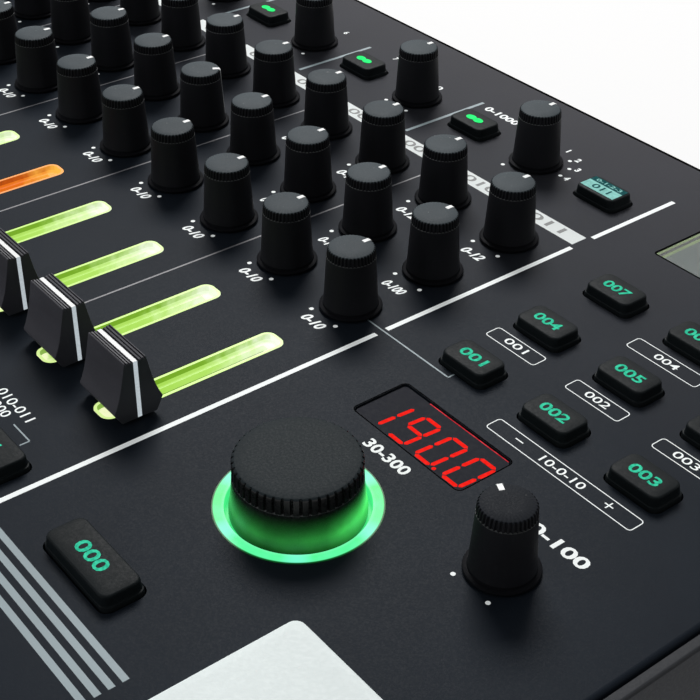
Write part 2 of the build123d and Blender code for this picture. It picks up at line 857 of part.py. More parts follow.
pattern_keys.part.label = "pattern_keys"
export_step(pattern_keys.part, "parts/pattern_keys.step")

with BuildPart() as voice_keys:
    with Locations(*voice_key_places):
        add(key_blank(voice_key_width, voice_key_depth))

voice_keys.part.label = "voice_keys"
export_step(voice_keys.part, "parts/voice_keys.step")

with BuildPart() as step_keys:
    with Locations(*step_key_places):
        add(key_blank(step_key_width, step_key_depth))

step_keys.part.label = "step_keys"
export_step(step_keys.part, "parts/step_keys.step")

with BuildPart() as mute_key:
    with Locations((mute_key_x, voice_key_y)):
        add(key_blank(mute_key_width, mute_key_depth))

mute_key.part.label = "mute_key"
export_step(mute_key.part, "parts/mute_key.step")

with BuildPart() as start_key:
    with Locations((start_key_x, start_key_y)):
        add(key_blank(start_key_size, start_key_size))

start_key.part.label = "start_key"
export_step(start_key.part, "parts/start_key.step")

with BuildPart() as trigger_pad:
    with Locations((pad_x, pad_y)):
        add(key_blank(pad_size, pad_size, pad_height, pad_corner_radius))

trigger_pad.part.label = "trigger_pad"
export_step(trigger_pad.part, "parts/trigger_pad.step")

# One push switch on the board under each key.
with BuildPart() as key_switches:
    with BuildSketch(Plane.XY.offset(board_top)):
        with Locations(*all_key_places):
            Rectangle(switch_size, switch_size)
    extrude(amount=switch_height)
    with BuildSketch(Plane.XY.offset(switch_top - switch_bore_depth)):
        with Locations(*all_key_places):
            Circle(key_stem_diameter / 2 + switch_bore_clearance)
    extrude(amount=switch_bore_depth, mode=Mode.SUBTRACT)

key_switches.part.label = "key_switches"
export_step(key_switches.part, "parts/key_switches.step")

# ------------------------------------------------------------------ displays

# Four-digit tempo display, its face standing in the panel's window.
with BuildPart() as tempo_display:
    with BuildSketch(Plane.XY.offset(board_top)):
        with Locations((tempo_window_x, tempo_window_y)):
            Rectangle(tempo_window_width + 2 * display_overlap, tempo_window_depth + 2 * display_overlap)
    extrude(amount=panel_bottom - display_gap - board_top)
    with BuildSketch(Plane.XY.offset(panel_bottom - display_gap)):
        with Locations((tempo_window_x, tempo_window_y)):
            RectangleRounded(
                tempo_window_width - 2 * tempo_window_fit,
                tempo_window_depth - 2 * tempo_window_fit,
                tempo_window_radius - tempo_window_fit,
            )
    extrude(amount=panel_thickness + display_gap - tempo_face_recess)

tempo_display.part.label = "tempo_display"
export_step(tempo_display.part, "parts/tempo_display.step")

# Character display: its board, and a bezel round the recessed glass.
lcd_face_z = panel_bottom - lcd_top_gap
with BuildPart() as lcd_module:
    with BuildSketch(Plane.XY.offset(board_top)):
        with Locations((lcd_x, lcd_y)):
            Rectangle(lcd_board_width, lcd_board_depth)
    extrude(amount=board_thickness)
    with BuildSketch(Plane.XY.offset(board_top + board_thickness)):
        with Locations((lcd_x, lcd_y)):
            Rectangle(lcd_bezel_width, lcd_bezel_depth)
    extrude(amount=lcd_face_z - board_top - board_thickness)
    with BuildSketch(Plane.XY.offset(lcd_face_z)):
        with Locations((lcd_x, lcd_y)):
            Rectangle(lcd_view_width - 2 * lcd_window_fit, lcd_view_depth - 2 * lcd_window_fit)
    extrude(amount=-lcd_glass_recess, mode=Mode.SUBTRACT)

lcd_module.part.label = "lcd_module"
export_step(lcd_module.part, "parts/lcd_module.step")

# Clear window in the panel, resting on the bezel.
with BuildPart() as lcd_window:
    with BuildSketch(Plane.XY.offset(lcd_face_z)):
        with Locations((lcd_x, lcd_y)):
            Rectangle(lcd_view_width - 2 * lcd_window_fit, lcd_view_depth - 2 * lcd_window_fit)
    extrude(amount=panel_top - lcd_window_recess - lcd_face_z)

lcd_window.part.label = "lcd_window"
export_step(lcd_window.part, "parts/lcd_window.step")

# ------------------------------------------------------------------ rear plate and sockets

phone_axis_z = jack_board_top + phone_body_height / 2
midi_axis_z = jack_board_top + midi_body_height / 2
usb_axis_z = jack_board_top + usb_body_height / 2
inlet_axis_z = jack_board_top + inlet_body_height / 2
power_axis_z = jack_board_top + power_body_size / 2
power_button_rear_y = rear_face_y + power_button_stand
power_hole = power_button_size + 2 * power_button_fit
power_button_reach = power_button_depth - power_button_stand - rear_plate_thickness
power_hole_depth = power_button_reach + power_travel + power_hole_spare
rear_face = Plane.XZ.offset(-rear_face_y)
rear_inner_face = Plane.XZ.offset(-rear_inner_y)
socket_rear_face = Plane.XZ.offset(-rear_face_y - socket_stand)

# Rear plate between the tray's side walls, with a hole for each socket.
with BuildPart() as rear_plate:
    with BuildSketch(rear_face):
        with Locations((0, (floor_top + panel_bottom) / 2)):
            Rectangle(inner_width - 2 * rear_plate_fit, panel_bottom - floor_top)
        with Locations(*[(x, phone_axis_z) for x in phone_jack_x]):
            Circle(phone_bushing_diameter / 2 + socket_hole_gap, mode=Mode.SUBTRACT)
        with Locations(*[(x, midi_axis_z) for x in midi_socket_x]):
            Circle(midi_collar_diameter / 2 + socket_hole_gap, mode=Mode.SUBTRACT)
        with Locations((usb_x, usb_axis_z)):
            Rectangle(
                usb_body_width + 2 * socket_hole_gap,
                usb_body_height + 2 * socket_hole_gap,
                mode=Mode.SUBTRACT,
            )
        with Locations((inlet_x, inlet_axis_z)):
            Rectangle(
                inlet_body_width + 2 * socket_hole_gap,
                inlet_body_height + 2 * socket_hole_gap,
                mode=Mode.SUBTRACT,
            )
        with Locations((power_x, power_axis_z)):
            Rectangle(power_hole, power_hole, mode=Mode.SUBTRACT)
    extrude(amount=rear_plate_thickness)

rear_plate.part.label = "rear_plate"
export_step(rear_plate.part, "parts/rear_plate.step")

# One phone jack: housing, bushing through the rear plate, and the nut on it.
bushing_face = Plane.XZ.offset(-rear_face_y - phone_bushing_stand)
nut_face = Plane.XZ.offset(-rear_face_y - phone_nut_height)
with BuildPart() as phone_jack_blank:
    with BuildSketch(rear_inner_face):
        with Locations((0, phone_axis_z)):
            Rectangle(phone_body_width, phone_body_height)
    extrude(amount=phone_body_depth)
    with BuildSketch(bushing_face):
        with Locations((0, phone_axis_z)):
            Circle(phone_bushing_diameter / 2)
    extrude(amount=phone_bushing_stand + rear_plate_thickness)
    with BuildSketch(nut_face):
        with Locations((0, phone_axis_z)):
            RegularPolygon(phone_nut_diameter / 2, 6)
    extrude(amount=phone_nut_height)
    with BuildSketch(bushing_face):
        with Locations((0, phone_axis_z)):
            Circle(phone_bore / 2)
    extrude(amount=phone_bore_depth, mode=Mode.SUBTRACT)

with BuildPart() as phone_jacks:
    with Locations(*[(x, 0) for x in phone_jack_x]):
        add(phone_jack_blank.part)

phone_jacks.part.label = "phone_jacks"
export_step(phone_jacks.part, "parts/phone_jacks.step")

# Two five-pin sockets.
midi_face = Plane.XZ.offset(-rear_face_y - midi_collar_stand)
midi_recess_floor = Plane.XZ.offset(-rear_face_y - midi_collar_stand + midi_recess_depth)
with BuildPart() as midi_socket_blank:
    with BuildSketch(rear_inner_face):
        with Locations((0, midi_axis_z)):
            Rectangle(midi_body_width, midi_body_height)
    extrude(amount=midi_body_depth)
    with BuildSketch(midi_face):
        with Locations((0, midi_axis_z)):
            Circle(midi_collar_diameter / 2)
    extrude(amount=midi_collar_stand + rear_plate_thickness)
    with BuildSketch(midi_face):
        with Locations((0, midi_axis_z)):
            Circle(midi_recess_diameter / 2)
    extrude(amount=midi_recess_depth, mode=Mode.SUBTRACT)
    with BuildSketch(midi_recess_floor):
        with Locations((0, midi_axis_z)):
            with PolarLocations(midi_pin_circle / 2, 5, start_angle=0, angular_range=180):
                Circle(midi_pin_diameter / 2)
    extrude(amount=midi_body_depth / 3, mode=Mode.SUBTRACT)

with BuildPart() as midi_sockets:
    with Locations(*[(x, 0) for x in midi_socket_x]):
        add(midi_socket_blank.part)

midi_sockets.part.label = "midi_sockets"
export_step(midi_sockets.part, "parts/midi_sockets.step")

# Data socket with its tongue set back in the mouth.
with BuildPart() as usb_socket:
    with BuildSketch(socket_rear_face):
        with Locations((usb_x, usb_axis_z)):
            Rectangle(usb_body_width, usb_body_height)
    extrude(amount=usb_body_depth)
    with BuildSketch(socket_rear_face):
        with Locations((usb_x, usb_axis_z)):
            Rectangle(usb_mouth_width, usb_mouth_height)
    extrude(amount=usb_mouth_depth, mode=Mode.SUBTRACT)
    with BuildSketch(Plane.XZ.offset(-rear_face_y - socket_stand + usb_tongue_setback)):
        with Locations((usb_x, usb_axis_z)):
            Rectangle(usb_tongue_width, usb_tongue_height)
    extrude(amount=usb_mouth_depth - usb_tongue_setback)

usb_socket.part.label = "usb_socket"
export_step(usb_socket.part, "parts/usb_socket.step")

# Power inlet with its centre pin, and the housing of the power switch beside it.
with BuildPart() as power_inlet:
    with BuildSketch(socket_rear_face):
        with Locations((inlet_x, inlet_axis_z)):
            Rectangle(inlet_body_width, inlet_body_height)
    extrude(amount=inlet_body_depth)
    with BuildSketch(socket_rear_face):
        with Locations((inlet_x, inlet_axis_z)):
            Circle(inlet_bore / 2)
    extrude(amount=inlet_bore_depth, mode=Mode.SUBTRACT)
    with BuildSketch(Plane.XZ.offset(-rear_face_y - socket_stand + inlet_pin_setback)):
        with Locations((inlet_x, inlet_axis_z)):
            Circle(inlet_pin_diameter / 2)
    extrude(amount=inlet_bore_depth - inlet_pin_setback)
    with BuildSketch(rear_inner_face):
        with Locations((power_x, power_axis_z)):
            Rectangle(power_body_size, power_body_size)
    extrude(amount=power_body_depth)
    with BuildSketch(rear_inner_face):
        with Locations((power_x, power_axis_z)):
            Rectangle(power_hole, power_hole)
    extrude(amount=power_hole_depth, mode=Mode.SUBTRACT)

power_inlet.part.label = "power_inlet"
export_step(power_inlet.part, "parts/power_inlet.step")

# Push button of the power switch.
with BuildPart() as power_button:
    with BuildSketch(Plane.XZ.offset(-power_button_rear_y)):
        with Locations((power_x, power_axis_z)):
            Rectangle(power_button_size, power_button_size)
    extrude(amount=power_button_depth)
    fillet(power_button.faces().sort_by(Axis.Y)[-1].edges(), radius=power_button_round)

power_button.part.label = "power_button"
export_step(power_button.part, "parts/power_button.step")
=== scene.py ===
import math

import bpy
from mathutils import Matrix, Vector


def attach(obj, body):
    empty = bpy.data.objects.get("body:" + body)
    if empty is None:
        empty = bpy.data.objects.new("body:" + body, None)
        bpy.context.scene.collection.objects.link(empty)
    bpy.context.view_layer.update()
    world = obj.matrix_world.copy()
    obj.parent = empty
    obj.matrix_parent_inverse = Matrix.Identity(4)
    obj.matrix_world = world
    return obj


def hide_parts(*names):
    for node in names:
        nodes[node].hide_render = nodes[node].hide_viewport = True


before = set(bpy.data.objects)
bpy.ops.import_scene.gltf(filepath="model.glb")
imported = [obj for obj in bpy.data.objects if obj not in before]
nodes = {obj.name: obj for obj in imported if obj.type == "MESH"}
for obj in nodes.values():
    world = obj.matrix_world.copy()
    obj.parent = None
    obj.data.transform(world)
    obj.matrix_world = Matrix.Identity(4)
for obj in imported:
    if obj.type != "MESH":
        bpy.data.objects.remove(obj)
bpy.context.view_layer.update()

# Sizes are in millimetres, named as in the part's source; MM turns them into metres.
MM = 0.001
panel_top = 44.0
column_pitch = 22.0
column_x = [98.5 - column_pitch * step for step in range(10, -1, -1)]
knob_row_y = [29.2, 51.2, 73.2]
knob_rows = ("control", "decay", "tune")
top_row_y = 102.6
left_knob_columns = (-179.5, -154.5)
tempo_x, tempo_y = 140.7, -15.1
ring_lip, ring_rim = (12.7, 13.3), (14.42, 14.62)
shuffle_x, shuffle_y = 173.5, 1.4
fader_rest_y = -24.4
slot_width, slot_length = 6.2, 41.0
slot_centre_y = fader_rest_y + 15.1
slot_floor_drop, slot_lip_drop = 1.23, 0.07
menu_columns_x = (129.7, 151.6, 173.5)
menu_rows_y = (34.6, 54.3, 74.0)
value_place = (menu_columns_x[2], menu_rows_y[2])
voice_key_y = -50.5
mute_x = 133.4
step_x = [-118.5 + 19.0 * step for step in range(16)]
step_key_y, variation_key_y = -103.5, -79.5
pad_x, pad_y, pad_size = 179.3, -48.0, 33.0
start_x, start_y = -179.5, -101.0
window_x, window_y, window_w, window_d = 140.3, 14.9, 29.4, 12.8
lcd_x, lcd_y, lcd_w, lcd_d = 154.5, 102.4, 64.6, 16.2

# Layout units: one unit is the column pitch, counted from the left dot in front of control_knob_11.
layout_x, layout_y = 94.5, 22.2


def px(u):
    return layout_x + column_pitch * u


def py(v):
    return layout_y + column_pitch * v


# ------------------------------------------------------------------ camera
azimuth, elevation, roll = math.radians(51.592), math.radians(35.355), math.radians(0.647)
camera_place = (0.29167, -0.12400, 0.20788)
focal_length, sensor_width = 74.69, 36.0
back = Vector((
    math.sin(azimuth) * math.cos(elevation),
    -math.cos(azimuth) * math.cos(elevation),
    math.sin(elevation),
))
right = Vector((math.cos(azimuth), math.sin(azimuth), 0.0))
up = back.cross(right)
right, up = right * math.cos(roll) + up * math.sin(roll), up * math.cos(roll) - right * math.sin(roll)
camera_data = bpy.data.cameras.new("camera")
camera_data.lens = focal_length
camera_data.sensor_width = sensor_width
camera_data.clip_start = 0.01
camera = bpy.data.objects.new("camera", camera_data)
camera.matrix_world = Matrix.Translation(camera_place) @ Matrix((
    (right.x, up.x, back.x),
    (right.y, up.y, back.y),
    (right.z, up.z, back.z),
)).to_4x4()
bpy.context.scene.collection.objects.link(camera)
bpy.context.scene.camera = camera
bpy.context.scene.view_settings.view_transform = "Standard"


# ------------------------------------------------------------------ lights
def area_light(name, place, aim, size, watts, tint):
    data = bpy.data.lights.new(name, "AREA")
    data.shape = "RECTANGLE"
    data.size, data.size_y = size
    data.energy = watts
    data.color = tint
    lamp = bpy.data.objects.new(name, data)
    lamp.location = place
    lamp.rotation_mode = "QUATERNION"
    lamp.rotation_quaternion = (Vector(aim) - Vector(place)).to_track_quat("-Z", "Y")
    bpy.context.scene.collection.objects.link(lamp)


area_light("key", (-0.62, 0.56, 0.95), (0.08, 0.0, 0.04), (0.55, 0.45), 17.0, (1.0, 0.985, 0.97))
area_light("fill", (-0.15, -1.2, 0.55), (0.05, 0.0, 0.04), (1.0, 0.8), 3.0, (0.97, 0.98, 1.0))


# ------------------------------------------------------------------ node helpers
def new_tree(material):
    material.use_nodes = True
    tree = material.node_tree
    tree.nodes.clear()
    return tree


def math_node(tree, operation, a, b=None):
    made = tree.nodes.new("ShaderNodeMath")
    made.operation = operation
    for socket, value in zip(made.inputs, (a, b)):
        if value is None:
            continue
        if isinstance(value, (int, float)):
            socket.default_value = value
        else:
            tree.links.new(value, socket)
    return made.outputs[0]


def mix_colour(tree, factor, a, b):
    made = tree.nodes.new("ShaderNodeMix")
    made.data_type = "RGBA"
    for socket, value in ((made.inputs[0], factor), (made.inputs[6], a), (made.inputs[7], b)):
        if isinstance(value, (int, float)):
            socket.default_value = value
        elif isinstance(value, tuple):
            socket.default_value = (*value, 1.0)
        else:
            tree.links.new(value, socket)
    return made.outputs[2]


def remap(tree, value, low, high, to_low, to_high):
    made = tree.nodes.new("ShaderNodeMapRange")
    tree.links.new(value, made.inputs[0])
    for index, number in enumerate((low, high, to_low, to_high), start=1):
        made.inputs[index].default_value = number
    return made.outputs[0]


def coordinates(tree):
    return tree.nodes.new("ShaderNodeTexCoord").outputs["Object"]


def split_xyz(tree, vector):
    made = tree.nodes.new("ShaderNodeSeparateXYZ")
    tree.links.new(vector, made.inputs[0])
    return made.outputs


def shader_of(tree):
    return next(item for item in tree.nodes if item.type == "BSDF_PRINCIPLED")


def noise(tree, vector, scale, detail=3.0, rough=0.5):
    made = tree.nodes.new("ShaderNodeTexNoise")
    made.inputs["Scale"].default_value = scale
    made.inputs["Detail"].default_value = detail
    made.inputs["Roughness"].default_value = rough
    tree.links.new(vector, made.inputs["Vector"])
    return made.outputs["Fac"]


def plain_rays(tree):
    """1 for the rays that see the white surroundings: camera, glossy and transmitted ones."""
    rays = tree.nodes.new("ShaderNodeLightPath").outputs
    seen = math_node(tree, "MAXIMUM", rays["Is Camera Ray"], rays["Is Glossy Ray"])
    return math_node(tree, "MAXIMUM", seen, rays["Is Transmission Ray"])


def finish_material(tree, shader):
    output = tree.nodes.new("ShaderNodeOutputMaterial")
    tree.links.new(shader, output.inputs["Surface"])


def glowing(tree, tone, strength, body, rough, specular):
    """A shader that gives off the tone's light; body is the plastic's own share of the colour."""
    shader = tree.nodes.new("ShaderNodeBsdfPrincipled")
    tree.links.new(tone, shader.inputs["Emission Color"])
    shader.inputs["Emission Strength"].default_value = strength
    tree.links.new(mix_colour(tree, 1.0 - body, tone, (0.0, 0.0, 0.0)), shader.inputs["Base Color"])
    shader.inputs["Roughness"].default_value = rough
    shader.inputs["Specular IOR Level"].default_value = specular
    finish_material(tree, shader.outputs["BSDF"])


def surface(
    name, colour, rough, grain=2500.0, bump=0.15, depth=0.00004, shift=0.25, rough_shift=0.08, metal=0.0,
    specular=0.3, wear=0.0, wear_colour=(0.2, 0.2, 0.2), speck=0.0, own_light=0.0,
):
    """A coloured surface with fine grain and a slow change of tone.

    speck adds dust, wear pales the convex edges, and own_light is painted light: a glow that lifts the colour in the
    shade.
    """
    material = bpy.data.materials.new(name)
    tree = new_tree(material)
    shader = tree.nodes.new("ShaderNodeBsdfPrincipled")
    place = coordinates(tree)
    fine = noise(tree, place, grain, 2.0, 0.6)
    slow = noise(tree, place, 45.0, 3.0, 0.55)
    dark = tuple(c * (1.0 - shift) for c in colour)
    light = tuple(min(1.0, c * (1.0 + shift)) for c in colour)
    tone = mix_colour(tree, remap(tree, slow, 0.3, 0.7, 0.0, 1.0), dark, light)
    bright = tuple(min(1.0, c * 1.9 + 0.01) for c in colour)
    tone = mix_colour(tree, remap(tree, fine, 0.62, 0.8, 0.0, 0.35), tone, bright)
    if speck:
        dust = noise(tree, place, grain * 0.55, 1.0, 0.5)
        tone = mix_colour(tree, remap(tree, dust, 0.74, 0.8, 0.0, speck), tone, (0.35, 0.36, 0.36))
    if wear:
        geometry = tree.nodes.new("ShaderNodeNewGeometry")
        edge = remap(tree, geometry.outputs["Pointiness"], 0.52, 0.6, 0.0, wear)
        tone = mix_colour(tree, edge, tone, wear_colour)
    tree.links.new(tone, shader.inputs["Base Color"])
    if own_light:
        tree.links.new(tone, shader.inputs["Emission Color"])
        shader.inputs["Emission Strength"].default_value = own_light
    tree.links.new(remap(tree, fine, 0.3, 0.7, rough - rough_shift, rough + rough_shift), shader.inputs["Roughness"])
    shader.inputs["Metallic"].default_value = metal
    shader.inputs["Specular IOR Level"].default_value = specular
    relief = tree.nodes.new("ShaderNodeBump")
    relief.inputs["Strength"].default_value = bump
    relief.inputs["Distance"].default_value = depth
    tree.links.new(fine, relief.inputs["Height"])
    tree.links.new(relief.outputs["Normal"], shader.inputs["Normal"])
    finish_material(tree, shader.outputs["BSDF"])
    return material


def glow(name, colour, strength, grain=900.0, shift=0.12, body=0.15):
    """Light that comes through plastic, slightly uneven."""
    material = bpy.data.materials.new(name)
    tree = new_tree(material)
    uneven = noise(tree, coordinates(tree), grain, 2.0)
    light = tuple(min(1.0, c * (1.0 + shift) + shift * 0.1) for c in colour)
    dark = tuple(c * (1.0 - shift) for c in colour)
    tone = mix_colour(tree, remap(tree, uneven, 0.35, 0.65, 0.0, 1.0), dark, light)
    glowing(tree, tone, strength, body, 0.45, 0.0)
    return material


# ------------------------------------------------------------------ materials
panel_paint = surface("panel_paint", (0.0115, 0.0158, 0.0225), 0.47, 2600.0, 0.35, 0.00003, 0.08, 0.06,
                      specular=0.028, speck=0.02)
case_plastic = surface("case_plastic", (0.024, 0.027, 0.032), 0.55, 1800.0, 0.4, 0.00006, 0.12, 0.06, specular=0.1,
                       wear=0.25, wear_colour=(0.09, 0.09, 0.095))
knob_side = surface("knob_side", (0.0115, 0.012, 0.0145), 0.5, 1500.0, 0.2, 0.00003, 0.2, 0.08, specular=0.08,
                    wear=0.3, wear_colour=(0.03, 0.031, 0.033))
# Painted light: the knobs' tops are the sides' black plastic painted lighter, as lit from above.
knob_top_lit = surface("knob_top_lit", (0.046, 0.058, 0.066), 0.55, 2800.0, 0.55, 0.00006, 0.16, 0.1,
                   specular=0.06, speck=0.25)
# Painted highlight: a pale ring on the small ledge at the foot of the flutes and grooves, standing in for light
# caught there.
ledge_highlight = surface("ledge_highlight", (0.16, 0.17, 0.17), 0.5, 2200.0, 0.3, 0.00003, 0.3, 0.1, specular=0.2)
# Painted light: the shuffle knob's top is painted at a lower light level than the other knobs' tops.
shuffle_top_lit = surface("shuffle_top_lit", (0.0155, 0.018, 0.0225), 0.55, 2800.0, 0.5, 0.00006, 0.14, 0.1,
                      specular=0.03, speck=0.12)
tempo_cap = surface("tempo_cap", (0.016, 0.0215, 0.0245), 0.5, 2400.0, 0.4, 0.00005, 0.1, 0.08,
                    specular=0.03, speck=0.03)
fader_plastic = surface("fader_plastic", (0.054, 0.054, 0.065), 0.5, 1900.0, 0.35, 0.00005, 0.22, 0.1, specular=0.25,
                        wear=0.5, wear_colour=(0.06, 0.06, 0.062), speck=0.04)
key_plastic = surface("key_plastic", (0.005, 0.0074, 0.0086), 0.5, 2000.0, 0.4, 0.00005, 0.1, 0.06, specular=0.05,
                      wear=0.15, wear_colour=(0.04, 0.042, 0.044))
step_plastic = surface("step_plastic", (0.1, 0.102, 0.105), 0.5, 2000.0, 0.35, 0.00005, 0.08, 0.08)
pad_rubber = surface("pad_rubber", (0.78, 0.86, 0.86), 0.55, 1400.0, 0.3, 0.00005, 0.03, 0.08)
rubber = surface("rubber", (0.015, 0.015, 0.015), 0.8, 1500.0, 0.5, 0.00008, 0.25, 0.06)
steel = surface("steel", (0.52, 0.52, 0.54), 0.32, 1200.0, 0.15, 0.00002, 0.1, 0.1, metal=1.0)
black_steel = surface("black_steel", (0.04, 0.04, 0.045), 0.4, 1500.0, 0.2, 0.00002, 0.15, 0.1, metal=0.7)
board = surface("board", (0.01, 0.08, 0.03), 0.4, 800.0, 0.2, 0.00003, 0.25, 0.1)
socket_plastic = surface("socket_plastic", (0.012, 0.012, 0.013), 0.4, 1500.0, 0.25, 0.00004, 0.2, 0.08)
# Painted light: the white print glows a little with its own light, so it stays white in the knobs' shadows.
white_ink = surface("white_ink", (0.62, 0.65, 0.65), 0.5, 3500.0, 0.2, 0.00001, 0.05, 0.05,
                    specular=0.1, own_light=0.55)
grey_ink = surface("grey_ink", (0.2, 0.2, 0.215), 0.5, 3500.0, 0.2, 0.00001, 0.1, 0.05)
pale_ink = surface("pale_ink", (0.26, 0.33, 0.36), 0.5, 3500.0, 0.2, 0.00001, 0.08, 0.05)
strip_ink = surface("strip_ink", (0.66, 0.71, 0.71), 0.5, 1500.0, 0.15, 0.00001, 0.06, 0.05)
dark_ink = surface("dark_ink", (0.16, 0.17, 0.17), 0.5, 3500.0, 0.2, 0.00001, 0.1, 0.05)
# Painted light: the white line down the fader caps' sides glows with its own light, so it stays bright in shade.
side_line_glow = glow("side_line_glow", (0.5, 0.56, 0.6), 0.85, 2500.0, 0.06, body=0.5)
pointer_paint = surface("pointer_paint", (0.86, 0.88, 0.88), 0.4, 2500.0, 0.2, 0.00002, 0.04, 0.05)
display_face = surface("display_face", (0.014, 0.0155, 0.022), 0.45, 1500.0, 0.1, 0.00001, 0.08, 0.05, specular=0.015)
shade_black = surface("shade_black", (0.002, 0.002, 0.002), 0.7, 1500.0, 0.1, 0.00001, 0.1, 0.05, specular=0.0)
# Painted shade: the knob's skirt is its own black plastic painted darker and less glossy, as in the shadow at the
# knob's foot.
shaded_knob_skirt = surface("shaded_knob_skirt", (0.0085, 0.009, 0.011), 0.5, 1500.0, 0.2, 0.00003, 0.2, 0.08, specular=0.015)
mint = glow("mint_legend", (0.03, 0.5, 0.3), 1.0, 1800.0, 0.2)
lens_green = glow("lens_green", (0.03, 0.9, 0.2), 1.05)
label_cyan = glow("label_cyan", (0.27, 0.6, 0.55), 0.85)
label_teal = glow("label_teal", (0.012, 0.085, 0.09), 0.8)
led_red = glow("led_red", (1.0, 0.014, 0.008), 1.0, 1400.0, 0.1, body=0.0)
led_reflection = glow("led_reflection", (0.62, 0.02, 0.035), 0.9, 700.0, 0.3)
lcd_glow = glow("lcd_glow", (0.045, 0.07, 0.064), 0.7, 300.0, 0.04)
lcd_edge = glow("lcd_edge", (0.16, 0.24, 0.06), 0.7, 300.0, 0.1)


def slot_material():
    """The faders' lit troughs: bright at the far end, a painted highlight on the lips, painted shade on the left wall
    and a painted shadow in one far corner.
    """
    material = bpy.data.materials.new("slot_light")
    tree = new_tree(material)
    place = coordinates(tree)
    x, y, z = split_xyz(tree, place)
    slot_near, slot_far = slot_centre_y - slot_length / 2, slot_centre_y + slot_length / 2
    along = remap(tree, y, slot_near * MM, slot_far * MM, 0.0, 1.0)
    streak = noise(tree, place, 420.0, 3.0)
    along = math_node(tree, "ADD", along, remap(tree, streak, 0.3, 0.7, -0.08, 0.08))
    ramp = tree.nodes.new("ShaderNodeValToRGB")
    ramp.color_ramp.elements[0].color = (0.36, 0.69, 0.06, 1.0)
    ramp.color_ramp.elements[1].color = (0.93, 0.97, 0.84, 1.0)
    middle = ramp.color_ramp.elements.new(0.6)
    middle.color = (0.48, 0.8, 0.15, 1.0)
    bright = ramp.color_ramp.elements.new(0.82)
    bright.color = (0.74, 0.96, 0.45, 1.0)
    tree.links.new(along, ramp.inputs[0])
    near = remap(tree, along, 0.05, 0.16, 1.0, 0.0)
    lime = mix_colour(tree, near, ramp.outputs[0], (0.95, 1.0, 0.6))
    # Painted shade: the left wall is darkened, less so towards the far end.
    facing = split_xyz(tree, tree.nodes.new("ShaderNodeNewGeometry").outputs["Normal"])
    above_floor = math_node(tree, "GREATER_THAN", z, (panel_top - slot_floor_drop) * MM)
    left_wall_shade = math_node(tree, "MULTIPLY", math_node(tree, "GREATER_THAN", facing[0], 0.5), above_floor)
    fade = remap(tree, along, 0.55, 0.95, 0.9, 0.15)
    tone = mix_colour(tree, math_node(tree, "MULTIPLY", left_wall_shade, fade), lime, (0.16, 0.36, 0.012))
    # Painted highlight: the lips are made lighter.
    lip_highlight = math_node(tree, "GREATER_THAN", z, (panel_top - slot_lip_drop) * MM)
    tone = mix_colour(tree, math_node(tree, "MULTIPLY", lip_highlight, 0.7), tone, (0.66, 0.97, 0.26))
    seventh = math_node(tree, "COMPARE", x, column_x[6] * MM)
    seventh.node.inputs[2].default_value = slot_width * MM
    # The seventh trough is orange, with the same painted shade and highlight.
    orange = mix_colour(tree, remap(tree, along, 0.72, 0.98, 0.0, 1.0), (0.8, 0.17, 0.012), (1.0, 0.5, 0.07))
    orange = mix_colour(tree, math_node(tree, "MULTIPLY", left_wall_shade, fade), orange, (0.3, 0.035, 0.004))
    orange = mix_colour(tree, math_node(tree, "MULTIPLY", lip_highlight, 0.8), orange, (1.0, 0.4, 0.1))
    tone = mix_colour(tree, seventh, tone, orange)
    # Painted shadow: a dark spot in the far left corner of each trough.
    across = math_node(tree, "SUBTRACT", x, (column_x[0] - column_pitch / 2) * MM)
    across = math_node(tree, "MODULO", across, column_pitch * MM)
    left_edge = (column_pitch - slot_width) / 2
    by_left = remap(tree, across, (left_edge + 0.4) * MM, (left_edge + 0.8) * MM, 0.8, 0.0)
    by_end = remap(tree, y, (slot_far - 0.9) * MM, (slot_far - 0.6) * MM, 0.0, 1.0)
    below_lip = math_node(tree, "LESS_THAN", z, (panel_top - slot_lip_drop) * MM)
    corner = math_node(tree, "MULTIPLY", math_node(tree, "MULTIPLY", by_left, by_end), below_lip)
    tone = mix_colour(tree, corner, tone, (0.05, 0.09, 0.01))
    glowing(tree, tone, 0.92, 0.15, 0.35, 0.15)
    return material


def from_tempo_centre(tree, place):
    """Offsets along X and Y, and distance, from the tempo knob's axis, and the height."""
    x, y, z = split_xyz(tree, place)
    dx = math_node(tree, "SUBTRACT", x, tempo_x * MM)
    dy = math_node(tree, "SUBTRACT", y, tempo_y * MM)
    squares = math_node(tree, "ADD", math_node(tree, "MULTIPLY", dx, dx), math_node(tree, "MULTIPLY", dy, dy))
    return dx, dy, math_node(tree, "SQRT", squares), z


def weighted(tree, dx, dy, weight_x, weight_y):
    """Offsets summed by weight: a distance along one direction."""
    along_y = math_node(tree, "MULTIPLY", dy, weight_y)
    return math_node(tree, "ADD", math_node(tree, "MULTIPLY", dx, weight_x), along_y)


